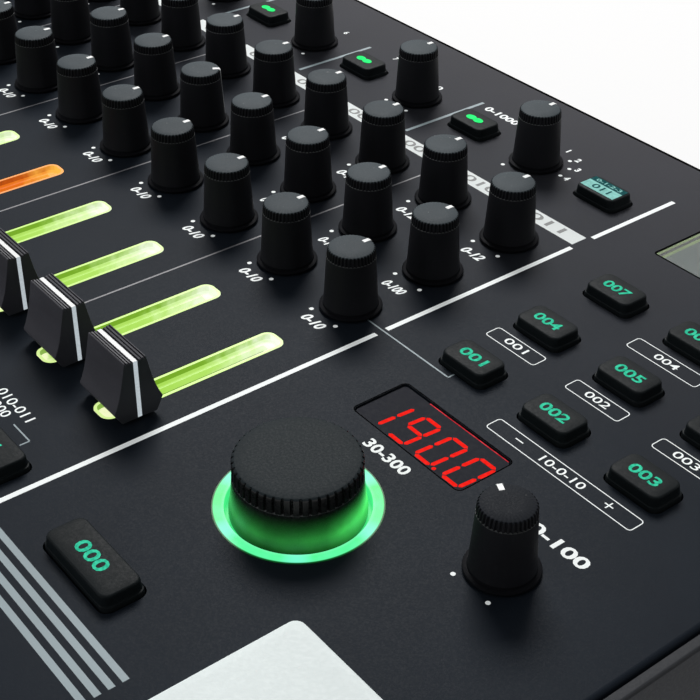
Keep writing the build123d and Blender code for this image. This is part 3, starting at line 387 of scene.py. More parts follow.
def ring_material():
    """The tempo knob's lit ring: green to mint, six brighter spots, a painted highlight at its inner edge, a darker
    rim, and painted shade in the recess, deepest on the side towards the camera.
    """
    material = bpy.data.materials.new("ring_light")
    tree = new_tree(material)
    place = coordinates(tree)
    dx, dy, radius, height = from_tempo_centre(tree, place)
    front = math_node(tree, "SUBTRACT", dx, dy)
    hue = mix_colour(tree, remap(tree, front, -0.004, 0.02, 0.0, 1.0), (0.06, 0.86, 0.18), (0.1, 0.95, 0.34))
    hue = mix_colour(tree, remap(tree, noise(tree, place, 300.0), 0.4, 0.7, 0.0, 0.3), hue, (0.2, 1.0, 0.6))
    turn = math_node(tree, "ADD", math_node(tree, "ARCTAN2", dy, dx), math.radians(38.0))
    spot = math_node(tree, "COSINE", math_node(tree, "MULTIPLY", turn, 6.0))
    hue = mix_colour(tree, remap(tree, spot, 0.35, 1.0, 0.0, 0.75), hue, (0.2, 0.99, 0.7))
    # Painted highlight: lighter towards the ring's inner edge.
    lip_highlight = remap(tree, radius, ring_lip[1] * MM, ring_lip[0] * MM, 0.0, 0.25)
    hue = mix_colour(tree, lip_highlight, hue, (0.4, 1.0, 0.7))
    # Painted shade: the recess round the knob's foot is darkened, most on the side towards the camera.
    sunk = remap(tree, height, (panel_top - 0.1) * MM, (panel_top - 0.6) * MM, 0.0, 1.0)
    viewer = math_node(tree, "DIVIDE", weighted(tree, dx, dy, 0.78, -0.62), radius)
    recess_shade = mix_colour(tree, remap(tree, viewer, 0.45, 0.85, 0.0, 1.0), (0.05, 0.72, 0.2), (0.01, 0.2, 0.03))
    hue = mix_colour(tree, sunk, hue, recess_shade)
    rim = remap(tree, radius, ring_rim[0] * MM, ring_rim[1] * MM, 0.0, 1.0)
    hue = mix_colour(tree, rim, hue, (0.003, 0.07, 0.012))
    glowing(tree, hue, 1.0, 0.15, 0.35, 0.1)
    return material


def tempo_side_material():
    """Glossy dark side of the tempo knob, with the ring's green light painted on as a glow that fades upwards and is
    stronger at the sides.
    """
    material = surface("tempo_side", (0.008, 0.0085, 0.0085), 0.28, 1200.0, 0.1, 0.00002, 0.2, 0.05, specular=0.25)
    tree = material.node_tree
    shader = shader_of(tree)
    place = coordinates(tree)
    dx, dy, _, height = from_tempo_centre(tree, place)
    low = remap(tree, height, (panel_top + 1.6) * MM, (panel_top + 6.8) * MM, 1.0, 0.0)
    low = math_node(tree, "MULTIPLY", low, low)
    foot = remap(tree, height, (panel_top - 1.2) * MM, (panel_top + 2.2) * MM, 0.1, 1.0)
    low = math_node(tree, "MULTIPLY", low, foot)
    cross = weighted(tree, dx, dy, 0.62, 0.78)
    sides = remap(tree, math_node(tree, "ABSOLUTE", cross), 0.005, 0.0105, 0.55, 1.5)
    sides = math_node(tree, "MULTIPLY", sides, remap(tree, cross, -0.0105, 0.0105, 0.45, 1.55))
    sides = math_node(tree, "MULTIPLY", sides, remap(tree, noise(tree, place, 260.0), 0.3, 0.7, 0.8, 1.15))
    # Painted light: green emission standing in for the ring's light on the knob's side.
    shader.inputs["Emission Color"].default_value = (0.035, 0.4, 0.06, 1.0)
    tree.links.new(math_node(tree, "MULTIPLY", low, sides), shader.inputs["Emission Strength"])
    return material


def clear_plastic():
    material = bpy.data.materials.new("clear_window")
    tree = new_tree(material)
    shader = tree.nodes.new("ShaderNodeBsdfPrincipled")
    place = coordinates(tree)
    shader.inputs["Base Color"].default_value = (0.93, 0.96, 0.94, 1.0)
    tree.links.new(remap(tree, noise(tree, place, 500.0), 0.3, 0.7, 0.03, 0.09), shader.inputs["Roughness"])
    shader.inputs["IOR"].default_value = 1.49
    shader.inputs["Transmission Weight"].default_value = 1.0
    finish_material(tree, shader.outputs["BSDF"])
    return material


slot_light = slot_material()
ring_light = ring_material()
tempo_side = tempo_side_material()
clear_window = clear_plastic()

# Painted light: the panel's colour is made a little lighter towards the rear, a painted sheen of the soft light that
# falls there.
tree = panel_paint.node_tree
shader = shader_of(tree)
rear_sheen = remap(tree, split_xyz(tree, coordinates(tree))[1], 0.04, 0.13, 0.0, 0.055)
painted = shader.inputs["Base Color"].links[0].from_socket
tree.links.new(mix_colour(tree, rear_sheen, painted, (0.62, 0.56, 0.58)), shader.inputs["Base Color"])

# The CAD nodes that stay as they are get these materials.
dressed = {
    "front_panel": panel_paint, "case_tray": case_plastic, "rear_plate": panel_paint, "rubber_feet": rubber,
    "case_screws": black_steel, "main_board": board, "jack_board": board, "pot_housings": steel,
    "slide_pots": steel, "fader_light_guides": slot_light, "tempo_light_ring": ring_light,
    "tempo_display": display_face, "lcd_window": clear_window, "lcd_module": socket_plastic,
    "key_switches": socket_plastic, "phone_jacks": socket_plastic, "midi_sockets": socket_plastic,
    "usb_socket": steel, "power_inlet": socket_plastic, "power_button": key_plastic,
}
for name, material in dressed.items():
    nodes[name].data.materials.clear()
    nodes[name].data.materials.append(material)


# ------------------------------------------------------------------ mesh helpers
def build(name, points, faces, materials, body, stands_for=(), picks=None, angle=35.0):
    """A mesh from points in millimetres, smooth except over the given angle."""
    data = bpy.data.meshes.new(name)
    data.from_pydata([(x * MM, y * MM, z * MM) for x, y, z in points], [], faces)
    data.update()
    data.polygons.foreach_set("use_smooth", [True] * len(data.polygons))
    data.set_sharp_from_angle(angle=math.radians(angle))
    for material in materials:
        data.materials.append(material)
    if picks:
        data.polygons.foreach_set("material_index", picks)
    piece = bpy.data.objects.new(name, data)
    bpy.context.scene.collection.objects.link(piece)
    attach(piece, body)
    if stands_for:
        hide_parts(*stands_for)


def moved(points, x, y, angle=0.0):
    """Points turned about Z, then shifted."""
    c, s = math.cos(angle), math.sin(angle)
    return [(x + a * c - b * s, y + a * s + b * c, z) for a, b, z in points]


def joined(shapes):
    """One list of points and faces from several (points, faces, picks)."""
    points, faces, picks = [], [], []
    for shape_points, shape_faces, shape_picks in shapes:
        start = len(points)
        points += shape_points
        faces += [tuple(index + start for index in face) for face in shape_faces]
        picks += shape_picks
    return points, faces, picks


def lathe(profile, count, notch):
    """Turned shape: profile of (radius, height, notch depth, material); notch(index) is its share, 0 to 1."""
    points, faces, picks = [], [], []
    for radius, height, depth, _ in profile:
        for index in range(count):
            angle = 2 * math.pi * index / count
            r = radius - depth * notch(index)
            points.append((r * math.cos(angle), r * math.sin(angle), height))
    for ring in range(len(profile) - 1):
        for index in range(count):
            following = (index + 1) % count
            a, b = ring * count + index, ring * count + following
            faces.append((a, b, b + count, a + count))
            picks.append(profile[ring + 1][3])
    faces.append(tuple(range(count))[::-1])
    picks.append(profile[0][3])
    last = (len(profile) - 1) * count
    faces.append(tuple(range(last, last + count)))
    picks.append(profile[-1][3])
    return points, faces, picks


def rounded_ring(half_x, half_y, radius, height, steps=6):
    """Points round a rectangle with rounded corners."""
    radius = min(radius, half_x * 0.98, half_y * 0.98)
    ring = []
    for corner, (sx, sy) in enumerate(((1, 1), (-1, 1), (-1, -1), (1, -1))):
        for step in range(steps + 1):
            angle = math.pi / 2 * (corner + step / steps)
            ring.append((
                sx * (half_x - radius) + radius * math.cos(angle),
                sy * (half_y - radius) + radius * math.sin(angle),
                height,
            ))
    return ring


def loft(rings):
    """A closed skin over rings of equal point counts."""
    count = len(rings[0])
    points = [point for ring in rings for point in ring]
    faces = []
    for level in range(len(rings) - 1):
        for index in range(count):
            following = (index + 1) % count
            a, b = level * count + index, level * count + following
            faces.append((a, b, b + count, a + count))
    faces.append(tuple(range(count))[::-1])
    last = (len(rings) - 1) * count
    faces.append(tuple(range(last, last + count)))
    return points, faces, [0] * len(faces)


# ------------------------------------------------------------------ knobs
flute_count = 40
flute_steps = 4
pointer_half = 0.48


def flute(index):
    return (0.0, 0.0, 1.0, 1.0)[index % flute_steps]


# The body runs from body_low to body_high; the flutes are cut into the rim above it.
body_low, body_high = (5.62, 1.3), (4.99, 12.1)
# The ring with material 3, at the flutes' foot, takes the painted highlight.
knob_profile = [
    (3.1, 0.3, 0.0, 4), (6.3, 0.3, 0.0, 4), (6.46, 0.38, 0.0, 4), (6.5, 0.55, 0.0, 4), (6.4, 0.76, 0.0, 4),
    (6.1, 0.86, 0.0, 4), (5.75, 0.92, 0.0, 4), (*body_low, 0.0, 4), (*body_high, 0.0, 0), (4.985, 12.14, 0.34, 3),
    (4.86, 13.62, 0.36, 0), (4.78, 13.9, 0.3, 0), (4.62, 14.06, 0.12, 1), (4.4, 14.14, 0.0, 1), (2.0, 14.16, 0.0, 1),
    (0.3, 14.17, 0.0, 1),
]
knob_points, knob_faces, knob_picks = lathe(
    [(r, panel_top + h, depth, pick) for r, h, depth, pick in knob_profile], flute_count * flute_steps, flute
)


def body_radius(height):
    share = (height - body_low[1]) / (body_high[1] - body_low[1])
    return body_low[0] + share * (body_high[0] - body_low[0]) + 0.03


def pointer_shape():
    """White mark on the top's edge that runs on down the side, towards +Y."""
    path = [(3.05, 14.21), (4.4, 14.2), (4.66, 14.13), (4.84, 13.93), (4.93, 13.6)]
    path += [(body_radius(h), h) for h in (12.0, 10.0, 6.0, 2.2)]
    points, faces = [], []
    for r, h in path:
        width = pointer_half if h > 13.0 else pointer_half / 2
        points += [(-width, r, panel_top + h), (width, r, panel_top + h)]
        points += [(-width, r - 0.25, panel_top + h - 0.25), (width, r - 0.25, panel_top + h - 0.25)]
    for step in range(len(path) - 1):
        a, b = step * 4, step * 4 + 4
        faces += [(a, b, b + 1, a + 1), (a + 2, b + 2, b, a), (a + 1, b + 1, b + 3, a + 3)]
    end = (len(path) - 1) * 4
    faces += [(0, 1, 3, 2), (end + 2, end + 3, end + 1, end)]
    return points, faces, [2] * len(faces)


pointer_points, pointer_faces, pointer_picks = pointer_shape()


def knob_at(x, y, angle):
    return joined([
        (moved(knob_points, x, y, angle), knob_faces, knob_picks),
        (moved(pointer_points, x, y, angle), pointer_faces, pointer_picks),
    ])


def knob_piece(node, places, body=None, cap=knob_top_lit):
    """Knobs at (x, y, pointer angle), in the place of one CAD node."""
    points, faces, picks = joined([knob_at(x, y, math.radians(a)) for x, y, a in places])
    materials = [knob_side, cap, pointer_paint, ledge_highlight, shaded_knob_skirt]
    build(f"{node}_dress", points, faces, materials, body or node, [node], picks, 28.0)


# Pointer angles at rest, turned to the left from 12 o'clock, in degrees.
rest_angle = {"decay_knob_7": -35.0, "shuffle_knob": 65.0}
for number in range(7, 12):
    for row, y in zip(knob_rows, knob_row_y):
        node = f"{row}_knob_{number}"
        knob_piece(node, [(column_x[number - 1], y, rest_angle.get(node, 0.0))])
knob_piece("effect_knob", [(column_x[7], top_row_y, 0.0)])
knob_piece("fill_knob", [(column_x[9], top_row_y, 0.0)])
knob_piece("shuffle_knob", [(shuffle_x, shuffle_y, rest_angle["shuffle_knob"])], cap=shuffle_top_lit)
knob_piece("value_knob", [(*value_place, 0.0)])
fixed_places = [(x, y, 0.0) for x in column_x[:6] for y in knob_row_y]
fixed_places += [(column_x[index], top_row_y, 0.0) for index in (1, 3, 5)]
fixed_places += [(x, y, 0.0) for x in left_knob_columns for y in knob_row_y + [top_row_y]]
knob_piece("joined_knobs", fixed_places, body="case")

# Tempo knob: narrow grooves round the upper band, smooth below.
groove_count = 46
groove_steps = 8


def groove(index):
    return (0.0, 0.0, 0.0, 0.0, 0.0, 1.0, 1.0, 0.0)[index % groove_steps]


# Material 2, at the grooves' foot, takes the painted highlight.
tempo_profile = [
    (3.1, -1.4, 0.0, 0), (11.7, -1.4, 0.0, 0), (11.86, -1.3, 0.0, 0), (11.9, -1.1, 0.0, 0),
    (11.88, 0.0, 0.0, 0), (11.7, 1.0, 0.0, 0), (11.52, 2.3, 0.0, 0), (11.36, 4.0, 0.0, 0),
    (11.22, 5.8, 0.0, 0), (11.16, 6.85, 0.0, 0), (11.15, 6.9, 0.4, 2), (11.12, 9.65, 0.4, 0),
    (10.98, 9.95, 0.3, 0), (10.72, 10.12, 0.1, 1), (10.45, 10.18, 0.0, 1), (8.0, 10.2, 0.0, 1),
    (0.5, 10.2, 0.0, 1),
]
points, faces, picks = lathe(
    [(r, panel_top + h, depth, pick) for r, h, depth, pick in tempo_profile], groove_count * groove_steps, groove
)
build("tempo_knob_dress", moved(points, tempo_x, tempo_y), faces, [tempo_side, tempo_cap, ledge_highlight],
      "tempo_knob", ["tempo_knob"], picks, 28.0)


# ------------------------------------------------------------------ fader caps
cap_low, cap_high, cap_half = 0.62, 13.4, 6.3
line_half = 0.42


def cap_shape():
    """The cap's outline across its width, extruded along X: a wedge with a shallow grooved valley on top."""
    half = [(0.0, cap_high - 0.38), (0.5, cap_high - 0.38)]
    for step in range(3):
        y = 0.6 * (step + 1) + 0.1
        level = cap_high - 0.3 + 0.12 * step
        half += [(y - 0.14, level), (y - 0.1, level - 0.32), (y + 0.1, level - 0.32), (y + 0.14, level + 0.04)]
    half += [(2.12, cap_high), (2.28, 13.3), (2.36, 13.0)]
    half += [(2.72, 11.2), (3.22, 8.8), (3.85, 6.4), (4.55, 4.5), (5.04, 3.5), (5.1, 3.3), (5.0, 3.1)]
    half += [(4.3, 1.7), (3.76, 0.75), (3.62, cap_low)]
    outline = half + [(-y, h) for y, h in half[::-1] if y > 0]
    rings = []
    for x in (-cap_half, -cap_half + 0.14, cap_half - 0.14, cap_half):
        inset = 0.1 if abs(x) == cap_half else 0.0
        base = panel_top + cap_low + inset * 0.3
        rings.append([
            (x, y * (1.0 - inset / 5.0), base + (h - cap_low) * (1.0 - inset / 11.0)) for y, h in outline
        ])
    return loft(rings)


def cap_line_shape():
    """White line over the cap's top and down both its sides; the side parts glow with painted light."""
    path = [(-6.36, 0.8), (-6.36, 12.92), (-6.28, 13.06), (6.28, 13.06), (6.36, 12.92), (6.36, 0.8)]
    points, faces = [], []
    for x, h in path:
        inner = 0.93 if abs(x) > cap_half else 0.98
        for place, level in ((x, h), (x * inner, h - 0.2)):
            points += [(place, -line_half, panel_top + level), (place, line_half, panel_top + level)]
    for step in range(len(path) - 1):
        a, b = step * 4, step * 4 + 4
        faces += [(a, a + 1, b + 1, b), (a, b, b + 2, a + 2), (a + 1, a + 3, b + 3, b + 1)]
    end = (len(path) - 1) * 4
    faces += [(0, 2, 3, 1), (end, end + 1, end + 3, end + 2)]
    picks = [1 if step == 2 else 3 for step in range(len(path) - 1) for _ in range(3)] + [3, 3]
    return points, faces, picks


def lever_shape():
    """The steel lever that carries a cap through its slot."""
    rings = []
    for h in (-8.0, 9.8):
        rings.append([(x, y, panel_top + h) for x, y in ((0.5, 2.0), (-0.5, 2.0), (-0.5, -2.0), (0.5, -2.0))])
    points, faces, _ = loft(rings)
    return points, faces, [2] * len(faces)


cap_parts = [cap_shape(), cap_line_shape(), lever_shape()]
for number, x in enumerate(column_x, start=1):
    points, faces, picks = joined([(moved(p, x, fader_rest_y), f, k) for p, f, k in cap_parts])
    build(f"fader_{number}_dress", points, faces, [fader_plastic, pointer_paint, steel, side_line_glow],
          f"fader_{number}", [f"fader_{number}"], picks, 25.0)


# ------------------------------------------------------------------ keys
key_height = 2.7


def key_shape(width, depth, height=key_height, corner=1.6, crown=0.06):
    """A soft key: a flange, a body with steep sides and a slightly crowned top."""
    w, d = width / 2, depth / 2
    levels = [
        (0.0, 0.0, -2.4), (0.0, 0.0, 0.55), (0.08, 0.05, 0.72), (0.35, 0.1, 0.78), (0.42, 0.14, 0.95),
        (0.5, 0.28, height - 0.4), (0.57, 0.35, height - 0.18), (0.7, 0.48, height - 0.05), (0.9, 0.68, height),
    ]
    rings = [rounded_ring(w - a, d - b, corner, panel_top + h) for a, b, h in levels]
    rings.append(rounded_ring(w - 2.4, d - 2.2, corner * 0.7, panel_top + height + crown))
    return loft(rings)


def key_piece(node, places, size, material=key_plastic, height=key_height, corner=1.6):
    """Keys of one size at their places, in the place of one CAD node."""
    shape = key_shape(*size, height, corner)
    points, faces, picks = joined([(moved(shape[0], x, y), shape[1], shape[2]) for x, y in places])
    build(f"{node}_dress", points, faces, [material], node, [node], picks, 40.0)


small = (12.3, 7.8)
menu_places = [(x, y) for y in menu_rows_y for x in menu_columns_x if (x, y) != value_place]
effect_places = [(x, top_row_y) for x in column_x[::2]]
pattern_places = [(x, variation_key_y) for x in step_x[:12]]
pattern_places += [(x, y) for x in left_knob_columns for y in (2.0, -18.0, -38.0)]
pattern_places += [(187.0, -96.0), (187.0, -110.0), (-151.0, -92.0), (-151.0, -110.0)]
voice_places = [(x, voice_key_y) for x in column_x]
step_places = [(x, step_key_y) for x in step_x]
key_piece("menu_keys", menu_places, small)
key_piece("effect_keys", effect_places, small)
key_piece("pattern_keys", pattern_places, small)
key_piece("voice_keys", voice_places, (14.0, 8.0))
key_piece("mute_key", [(mute_x, voice_key_y)], (20.2, 8.0))
key_piece("step_keys", step_places, (15.6, 22.0), step_plastic)
key_piece("start_key", [(start_x, start_y)], (22.0, 22.0))
key_piece("trigger_pad", [(pad_x, pad_y)], (pad_size, pad_size), pad_rubber, 1.8, 1.8)


# ------------------------------------------------------------------ printed lines, dots and numbers
def around(x, y, width, depth):
    """Low and high corner of a rectangle round a centre."""
    return x - width / 2, y - depth / 2, x + width / 2, y + depth / 2


class Ink:
    """Thin flat shapes of one material, all in one piece."""

    def __init__(self, material, level):
        self.material = material
        self.level = level
        self.points = []
        self.faces = []

    def polygon(self, outline):
        start = len(self.points)
        self.points += [(x, y, self.level) for x, y in outline]
        self.faces.append(tuple(range(start, start + len(outline))))

    def rectangle(self, x0, y0, x1, y1):
        self.polygon([(x0, y0), (x1, y0), (x1, y1), (x0, y1)])

    def line(self, x0, y0, x1, y1, width):
        length = math.hypot(x1 - x0, y1 - y0)
        nx, ny = -(y1 - y0) / length * width / 2, (x1 - x0) / length * width / 2
        self.polygon([(x0 - nx, y0 - ny), (x1 - nx, y1 - ny), (x1 + nx, y1 + ny), (x0 + nx, y0 + ny)])

    def dot(self, x, y, radius):
        self.polygon([
            (x + radius * math.cos(math.pi * k / 8), y + radius * math.sin(math.pi * k / 8)) for k in range(16)
        ])

    def outline(self, x0, y0, x1, y1, width, corner):
        cx, cy, hx, hy = (x0 + x1) / 2, (y0 + y1) / 2, (x1 - x0) / 2, (y1 - y0) / 2
        outer = rounded_ring(hx, hy, corner, 0.0, 4)
        inner = rounded_ring(hx - width, hy - width, max(corner - width, 0.05), 0.0, 4)
        for index in range(len(outer)):
            following = (index + 1) % len(outer)
            quad = (outer[index], outer[following], inner[following], inner[index])
            self.polygon([(cx + a, cy + b) for a, b, _ in quad])

    def text(self, words, x, y, height, bold=0.012, slant=0.0, width=None):
        """Numbers centred on a place; with a width they are stretched to it."""
        curve = bpy.data.curves.new("words", "FONT")
        curve.body = words
        curve.align_x = "CENTER"
        curve.align_y = "CENTER"
        curve.size = height / 0.7
        curve.offset = bold * height
        curve.shear = slant
        curve.resolution_u = 3
        holder = bpy.data.objects.new("words", curve)
        bpy.context.scene.collection.objects.link(holder)
        bpy.context.view_layer.update()
        flat = bpy.data.meshes.new_from_object(holder.evaluated_get(bpy.context.evaluated_depsgraph_get()))
        start = len(self.points)
        across = [v.co.x for v in flat.vertices]
        middle = (min(across) + max(across)) / 2
        stretch = width / (max(across) - min(across)) if width else 1.0
        self.points += [(x + (v.co.x - middle) * stretch, y + v.co.y, self.level) for v in flat.vertices]
        self.faces += [tuple(index + start for index in p.vertices) for p in flat.polygons]
        bpy.data.objects.remove(holder)
        bpy.data.curves.remove(curve)
        bpy.data.meshes.remove(flat)

    def make(self, name, body):
        build(name, self.points, self.faces, [self.material], body)


ink_level = panel_top + 0.02
white = Ink(white_ink, ink_level)
grey = Ink(grey_ink, ink_level)
pale = Ink(pale_ink, ink_level)
strips = Ink(strip_ink, ink_level)
on_strips = Ink(dark_ink, ink_level + 0.02)

# Long white lines beside the voices, and the thin one to the menu keys.
for u in (0.683, -10.32):
    for v0, v1 in ((-3.58, 0.217), (0.339, 2.691), (2.988, 4.188)):
        white.line(px(u), py(v0), px(u), py(v1), 1.15)
pale.line(px(0.25), py(0.3), px(1.571), py(0.3), 0.35)
pale.line(px(1.571), py(0.3) - 0.17, px(1.571), py(0.371), 0.35)

# Grey separators between groups of voices, and the marks of the top row.
for u in (-1.35, -3.35, -5.34, -7.34):
    grey.line(px(u), py(-2.2), px(u), py(2.72), 0.45)
for u, v0, v1 in ((-2.25, 3.01, 4.195), (-4.28, 3.02, 4.13), (-6.28, 3.02, 4.13), (-8.28, 3.02, 4.13)):
    pale.line(px(u), py(v0), px(u), py(v1), 0.9)

# Each knob has two dots in front of it, where its scale ends, and numbers in front of those.
dot_drop, dot_half_gap, dot_radius = 7.0, 3.98, 0.5
row_scales = (("0-10", 2.6), ("0-100", 3.7), ("0-12", 3.7))


def scale_dots(x, y):
    for side in (-1, 1):
        white.dot(x + side * dot_half_gap, y - dot_drop, dot_radius)


strip_half_width = 10.2
voice_number_rise, step_number_rise = 7.2, 13.2
for index, x in enumerate(column_x):
    number = str(index + 1)
    y0, y1 = py(2.74), py(2.94)
    strips.rectangle(x - strip_half_width, y0, x + strip_half_width, y1)
    on_strips.text(f"{number:0>3}", x, (y0 + y1) / 2, 2.5, 0.02, width=10.5)
    for y, (words, drop) in zip(knob_row_y, row_scales):
        scale_dots(x, y)
        white.text(words, x, y - dot_drop - drop, 2.3, 0.05, 0.25, width=6.0)
    if index < 10:
        white.text(number, x, voice_key_y + voice_number_rise, 1.8, 0.02)
for index in (1, 3, 5, 7, 9):
    scale_dots(column_x[index], top_row_y)
for index, x in enumerate(column_x[:7]):
    white.text(str(index + 1), x, py(4.16), 1.75, 0.03)
white.text("0-10", 29.0, 111.0, 1.9, 0.03, width=7.0)
white.text("0-1000", 53.4, 113.0, 2.2, 0.05, width=11.6)
dot_reach, number_reach = 8.3, 10.3
for degrees in (57, 29, 0):
    angle = math.radians(degrees)
    white.dot(column_x[9] + dot_reach * math.cos(angle), top_row_y + dot_reach * math.sin(angle), dot_radius)
for number, degrees in (("1", 86), ("2", 57), ("3", 30), ("4", 0)):
    angle = math.radians(degrees)
    x, y = column_x[9] + number_reach * math.cos(angle), top_row_y + number_reach * math.sin(angle)
    white.text(number, x, y, 1.7, 0.06)
for x in left_knob_columns:
    for y in knob_row_y + [top_row_y]:
        scale_dots(x, y)
        white.text("0-10", x, y - 9.6, 2.0, 0.03, 0.25, width=6.0)

# Right section: boxes under the menu keys, the tempo and shuffle scales.
for x0, y0, x1, y1, number in (
    (1.27, 1.00, 1.896, 1.18, "1"), (2.27, 1.00, 2.896, 1.18, "2"), (3.27, 0.99, 3.9, 1.16, "3"),
    (2.16, 1.88, 2.97, 2.07, "4"),
):
    white.outline(px(x0), py(y0), px(x1), py(y1), 0.2, 0.8)
    white.text(f"00{number}", px((x0 + x1) / 2), py((y0 + y1) / 2), 1.9, 0.012, width=5.8)
white.outline(px(2.265), py(0.095), px(3.885), py(0.27), 0.2, 0.8)
nudge_x, nudge_y = (151.3, 173.3), 26.35
for x in nudge_x:
    white.line(x - 0.95, nudge_y, x + 0.95, nudge_y, 0.28)
white.line(nudge_x[1], nudge_y - 0.95, nudge_x[1], nudge_y + 0.95, 0.28)
white.text("10-0-10", sum(nudge_x) / 2, nudge_y - 0.2, 1.9, 0.012, width=10.4)
white.text("30-300", 140.3, 4.5, 2.4, 0.04, width=11.4)
white.text("0-100", 175.2, 12.5, 2.6, 0.04, width=13.0)
white.dot(px(3.411), py(-1.263), 0.45)
white.dot(px(3.784), py(-1.26), 0.45)

# Bracket and numbers beside the last voice's key, and the four stripes at the front.
pale.line(px(-0.019) - 2.0, py(-2.98), px(0.167), py(-2.98), 0.3)
pale.line(px(0.167), py(-2.98), px(0.167), py(-3.07), 0.3)
white.text("010-011", 87.0, -40.5, 2.1, 0.012, width=12.0)
white.text("000", 86.5, -43.2, 2.0, 0.012, width=5.4)
stripe_first_y, stripe_pitch, stripe_width = -58.6, 2.4, 1.2
for k in range(4):
    y = stripe_first_y - stripe_pitch * k
    pale.line(-200.0, y, 157.0, y, stripe_width)
for index, x in enumerate(step_x):
    white.text(str(index + 1), x, step_key_y + step_number_rise, 1.8, 0.02)

# Painted shade: thin black lines round the two windows, where their walls fall in shade, and along the panel's rear
# edge, where its bend is in shade.
shade_lines = Ink(shade_black, ink_level)
rear_line_half, rear_line_y = 201.0, 130.9
shade_lines.line(-rear_line_half, rear_line_y, rear_line_half, rear_line_y, 0.8)
shade_lines.outline(*around(window_x, window_y, window_w + 0.6, window_d + 0.6), 0.25, 1.3)
shade_lines.outline(*around(lcd_x, lcd_y, lcd_w + 0.8, lcd_d + 0.8), 0.4, 0.9)

for ink, name in ((white, "print_white"), (shade_lines, "painted_shade_lines"), (grey, "print_grey"), (pale, "print_pale"),
                  (strips, "label_strips"), (on_strips, "strip_numbers")):
    ink.make(name, "case")

# Numbers and lenses on the keys' tops.
key_level = panel_top + key_height + 0.1
legend_drop = 0.2


def legends(name, body, items, height=2.4, width=None):
    """Lit numbers, as (words, x, y), that move with their keys."""
    ink = Ink(mint, key_level)
    for words, x, y in items:
        ink.text(words, x, y, height, 0.035, width=width)
    ink.make(name, body)


menu_items = [(f"00{k + 1}", x, y - legend_drop) for k, (x, y) in enumerate(menu_places)]
legends("menu_numbers", "menu_keys", menu_items, width=6.6)
legends("mute_number", "mute_key", [("000", mute_x, voice_key_y - legend_drop)], height=2.6, width=8.2)
legends("voice_numbers", "voice_keys", [(str(k + 1), x, y) for k, (x, y) in enumerate(voice_places)])
legends("pattern_numbers", "pattern_keys", [(str(k + 1), x, y) for k, (x, y) in enumerate(pattern_places)])
legends("start_number", "start_key", [("0/1", start_x, start_y)], height=3.2)
lenses = Ink(lens_green, key_level + 0.03)
lens_shift, lens_half_x, lens_half_y = 1.2, 1.5, 1.1
for x, y in effect_places[:-1]:
    for side in (-1, 1):
        lenses.polygon([(
            x + side * lens_shift + lens_half_x * math.cos(math.pi * k / 10),
            y + lens_half_y * math.sin(math.pi * k / 10),
        ) for k in range(20)])
lenses.make("key_lenses", "effect_keys")

# The last key of the top row carries a lit label: a dark strip with pale numbers over a pale one with dark numbers.
lit_x, lit_y = effect_places[-1]
label_half, label_low, label_split, label_high = 5.0, -2.6, 0.7, 2.7
dark_strip = Ink(label_teal, key_level)
dark_strip.rectangle(lit_x - label_half, lit_y + label_split, lit_x + label_half, lit_y + label_high)
pale_strip = Ink(label_cyan, key_level)
pale_strip.rectangle(lit_x - label_half, lit_y + label_low, lit_x + label_half, lit_y + label_split)
pale_numbers = Ink(label_cyan, key_level + 0.02)
pale_numbers.text("0-1-2-3", lit_x, lit_y + (label_split + label_high) / 2, 1.1, 0.02, width=7.6)
dark_numbers = Ink(label_teal, key_level + 0.02)
dark_numbers.text("011", lit_x, lit_y + (label_low + label_split) / 2, 1.9, 0.03, width=5.2)
for ink, name in ((dark_strip, "lit_label_dark"), (pale_strip, "lit_label_pale"),
                  (pale_numbers, "lit_label_numbers"), (dark_numbers, "lit_label_dark_numbers")):
    ink.make(name, "effect_keys")

# ------------------------------------------------------------------ displays
face = panel_top - 0.34
digits = Ink(led_red, face)
segments = {
    "a": ((-1, 2), (1, 2)), "b": ((1, 2), (1, 0)), "c": ((1, 0), (1, -2)), "d": ((-1, -2), (1, -2)),
    "e": ((-1, 0), (-1, -2)), "f": ((-1, 2), (-1, 0)), "g": ((-1, 0), (1, 0)),
}
shapes = {"1": "bc", "9": "abcdfg", "0": "abcdef"}
digit_w, digit_h, digit_pitch, lean = 4.2, 8.4, 7.35, 0.08
digit_first_x, digit_y = window_x - 10.3, window_y - 1.35
segment_half, segment_gap = 0.43, 0.14
for place, mark in enumerate("1900"):
    cx = digit_first_x + place * digit_pitch
    for segment in shapes[mark]:
        (ax, ay), (bx, by) = segments[segment]
        ax, bx = ax * digit_w / 2, bx * digit_w / 2
        ay, by = ay * digit_h / 4, by * digit_h / 4
        length = math.hypot(bx - ax, by - ay)
        ux, uy = (bx - ax) / length, (by - ay) / length
        start, end = segment_gap, length - segment_gap
        near, far = start + segment_half, end - segment_half
        corners = [
            (start, 0), (near, segment_half), (far, segment_half),
            (end, 0), (far, -segment_half), (near, -segment_half),
        ]
        outline = []
        for along, across in corners:
            x = ax + ux * along - uy * across
            y = ay + uy * along + ux * across
            outline.append((cx + x + lean * y, digit_y + y))
        digits.polygon(outline)
digits.dot(digit_first_x + 2 * digit_pitch + 2.8, digit_y - digit_h / 2, 0.42)
digits.make("tempo_digits", "case")
glare = Ink(led_reflection, face)
glare_y = window_y + window_d / 2 - 0.3
glare.line(window_x - window_w / 4, glare_y, window_x + window_w / 2 - 0.8, glare_y, 0.22)
glare.make("display_reflection", "case")

lcd_drop = 2.15
lcd_plate = Ink(lcd_glow, panel_top - lcd_drop)
lcd_plate.rectangle(*around(lcd_x, lcd_y, lcd_w - 2.8, lcd_d - 1.8))
lcd_plate.make("lcd_face", "case")
lcd_rim = Ink(lcd_edge, panel_top - lcd_drop - 0.01)
lcd_rim.outline(*around(lcd_x, lcd_y, lcd_w - 1.0, lcd_d - 0.6), 0.9, 0.3)
lcd_rim.make("lcd_rim", "case")

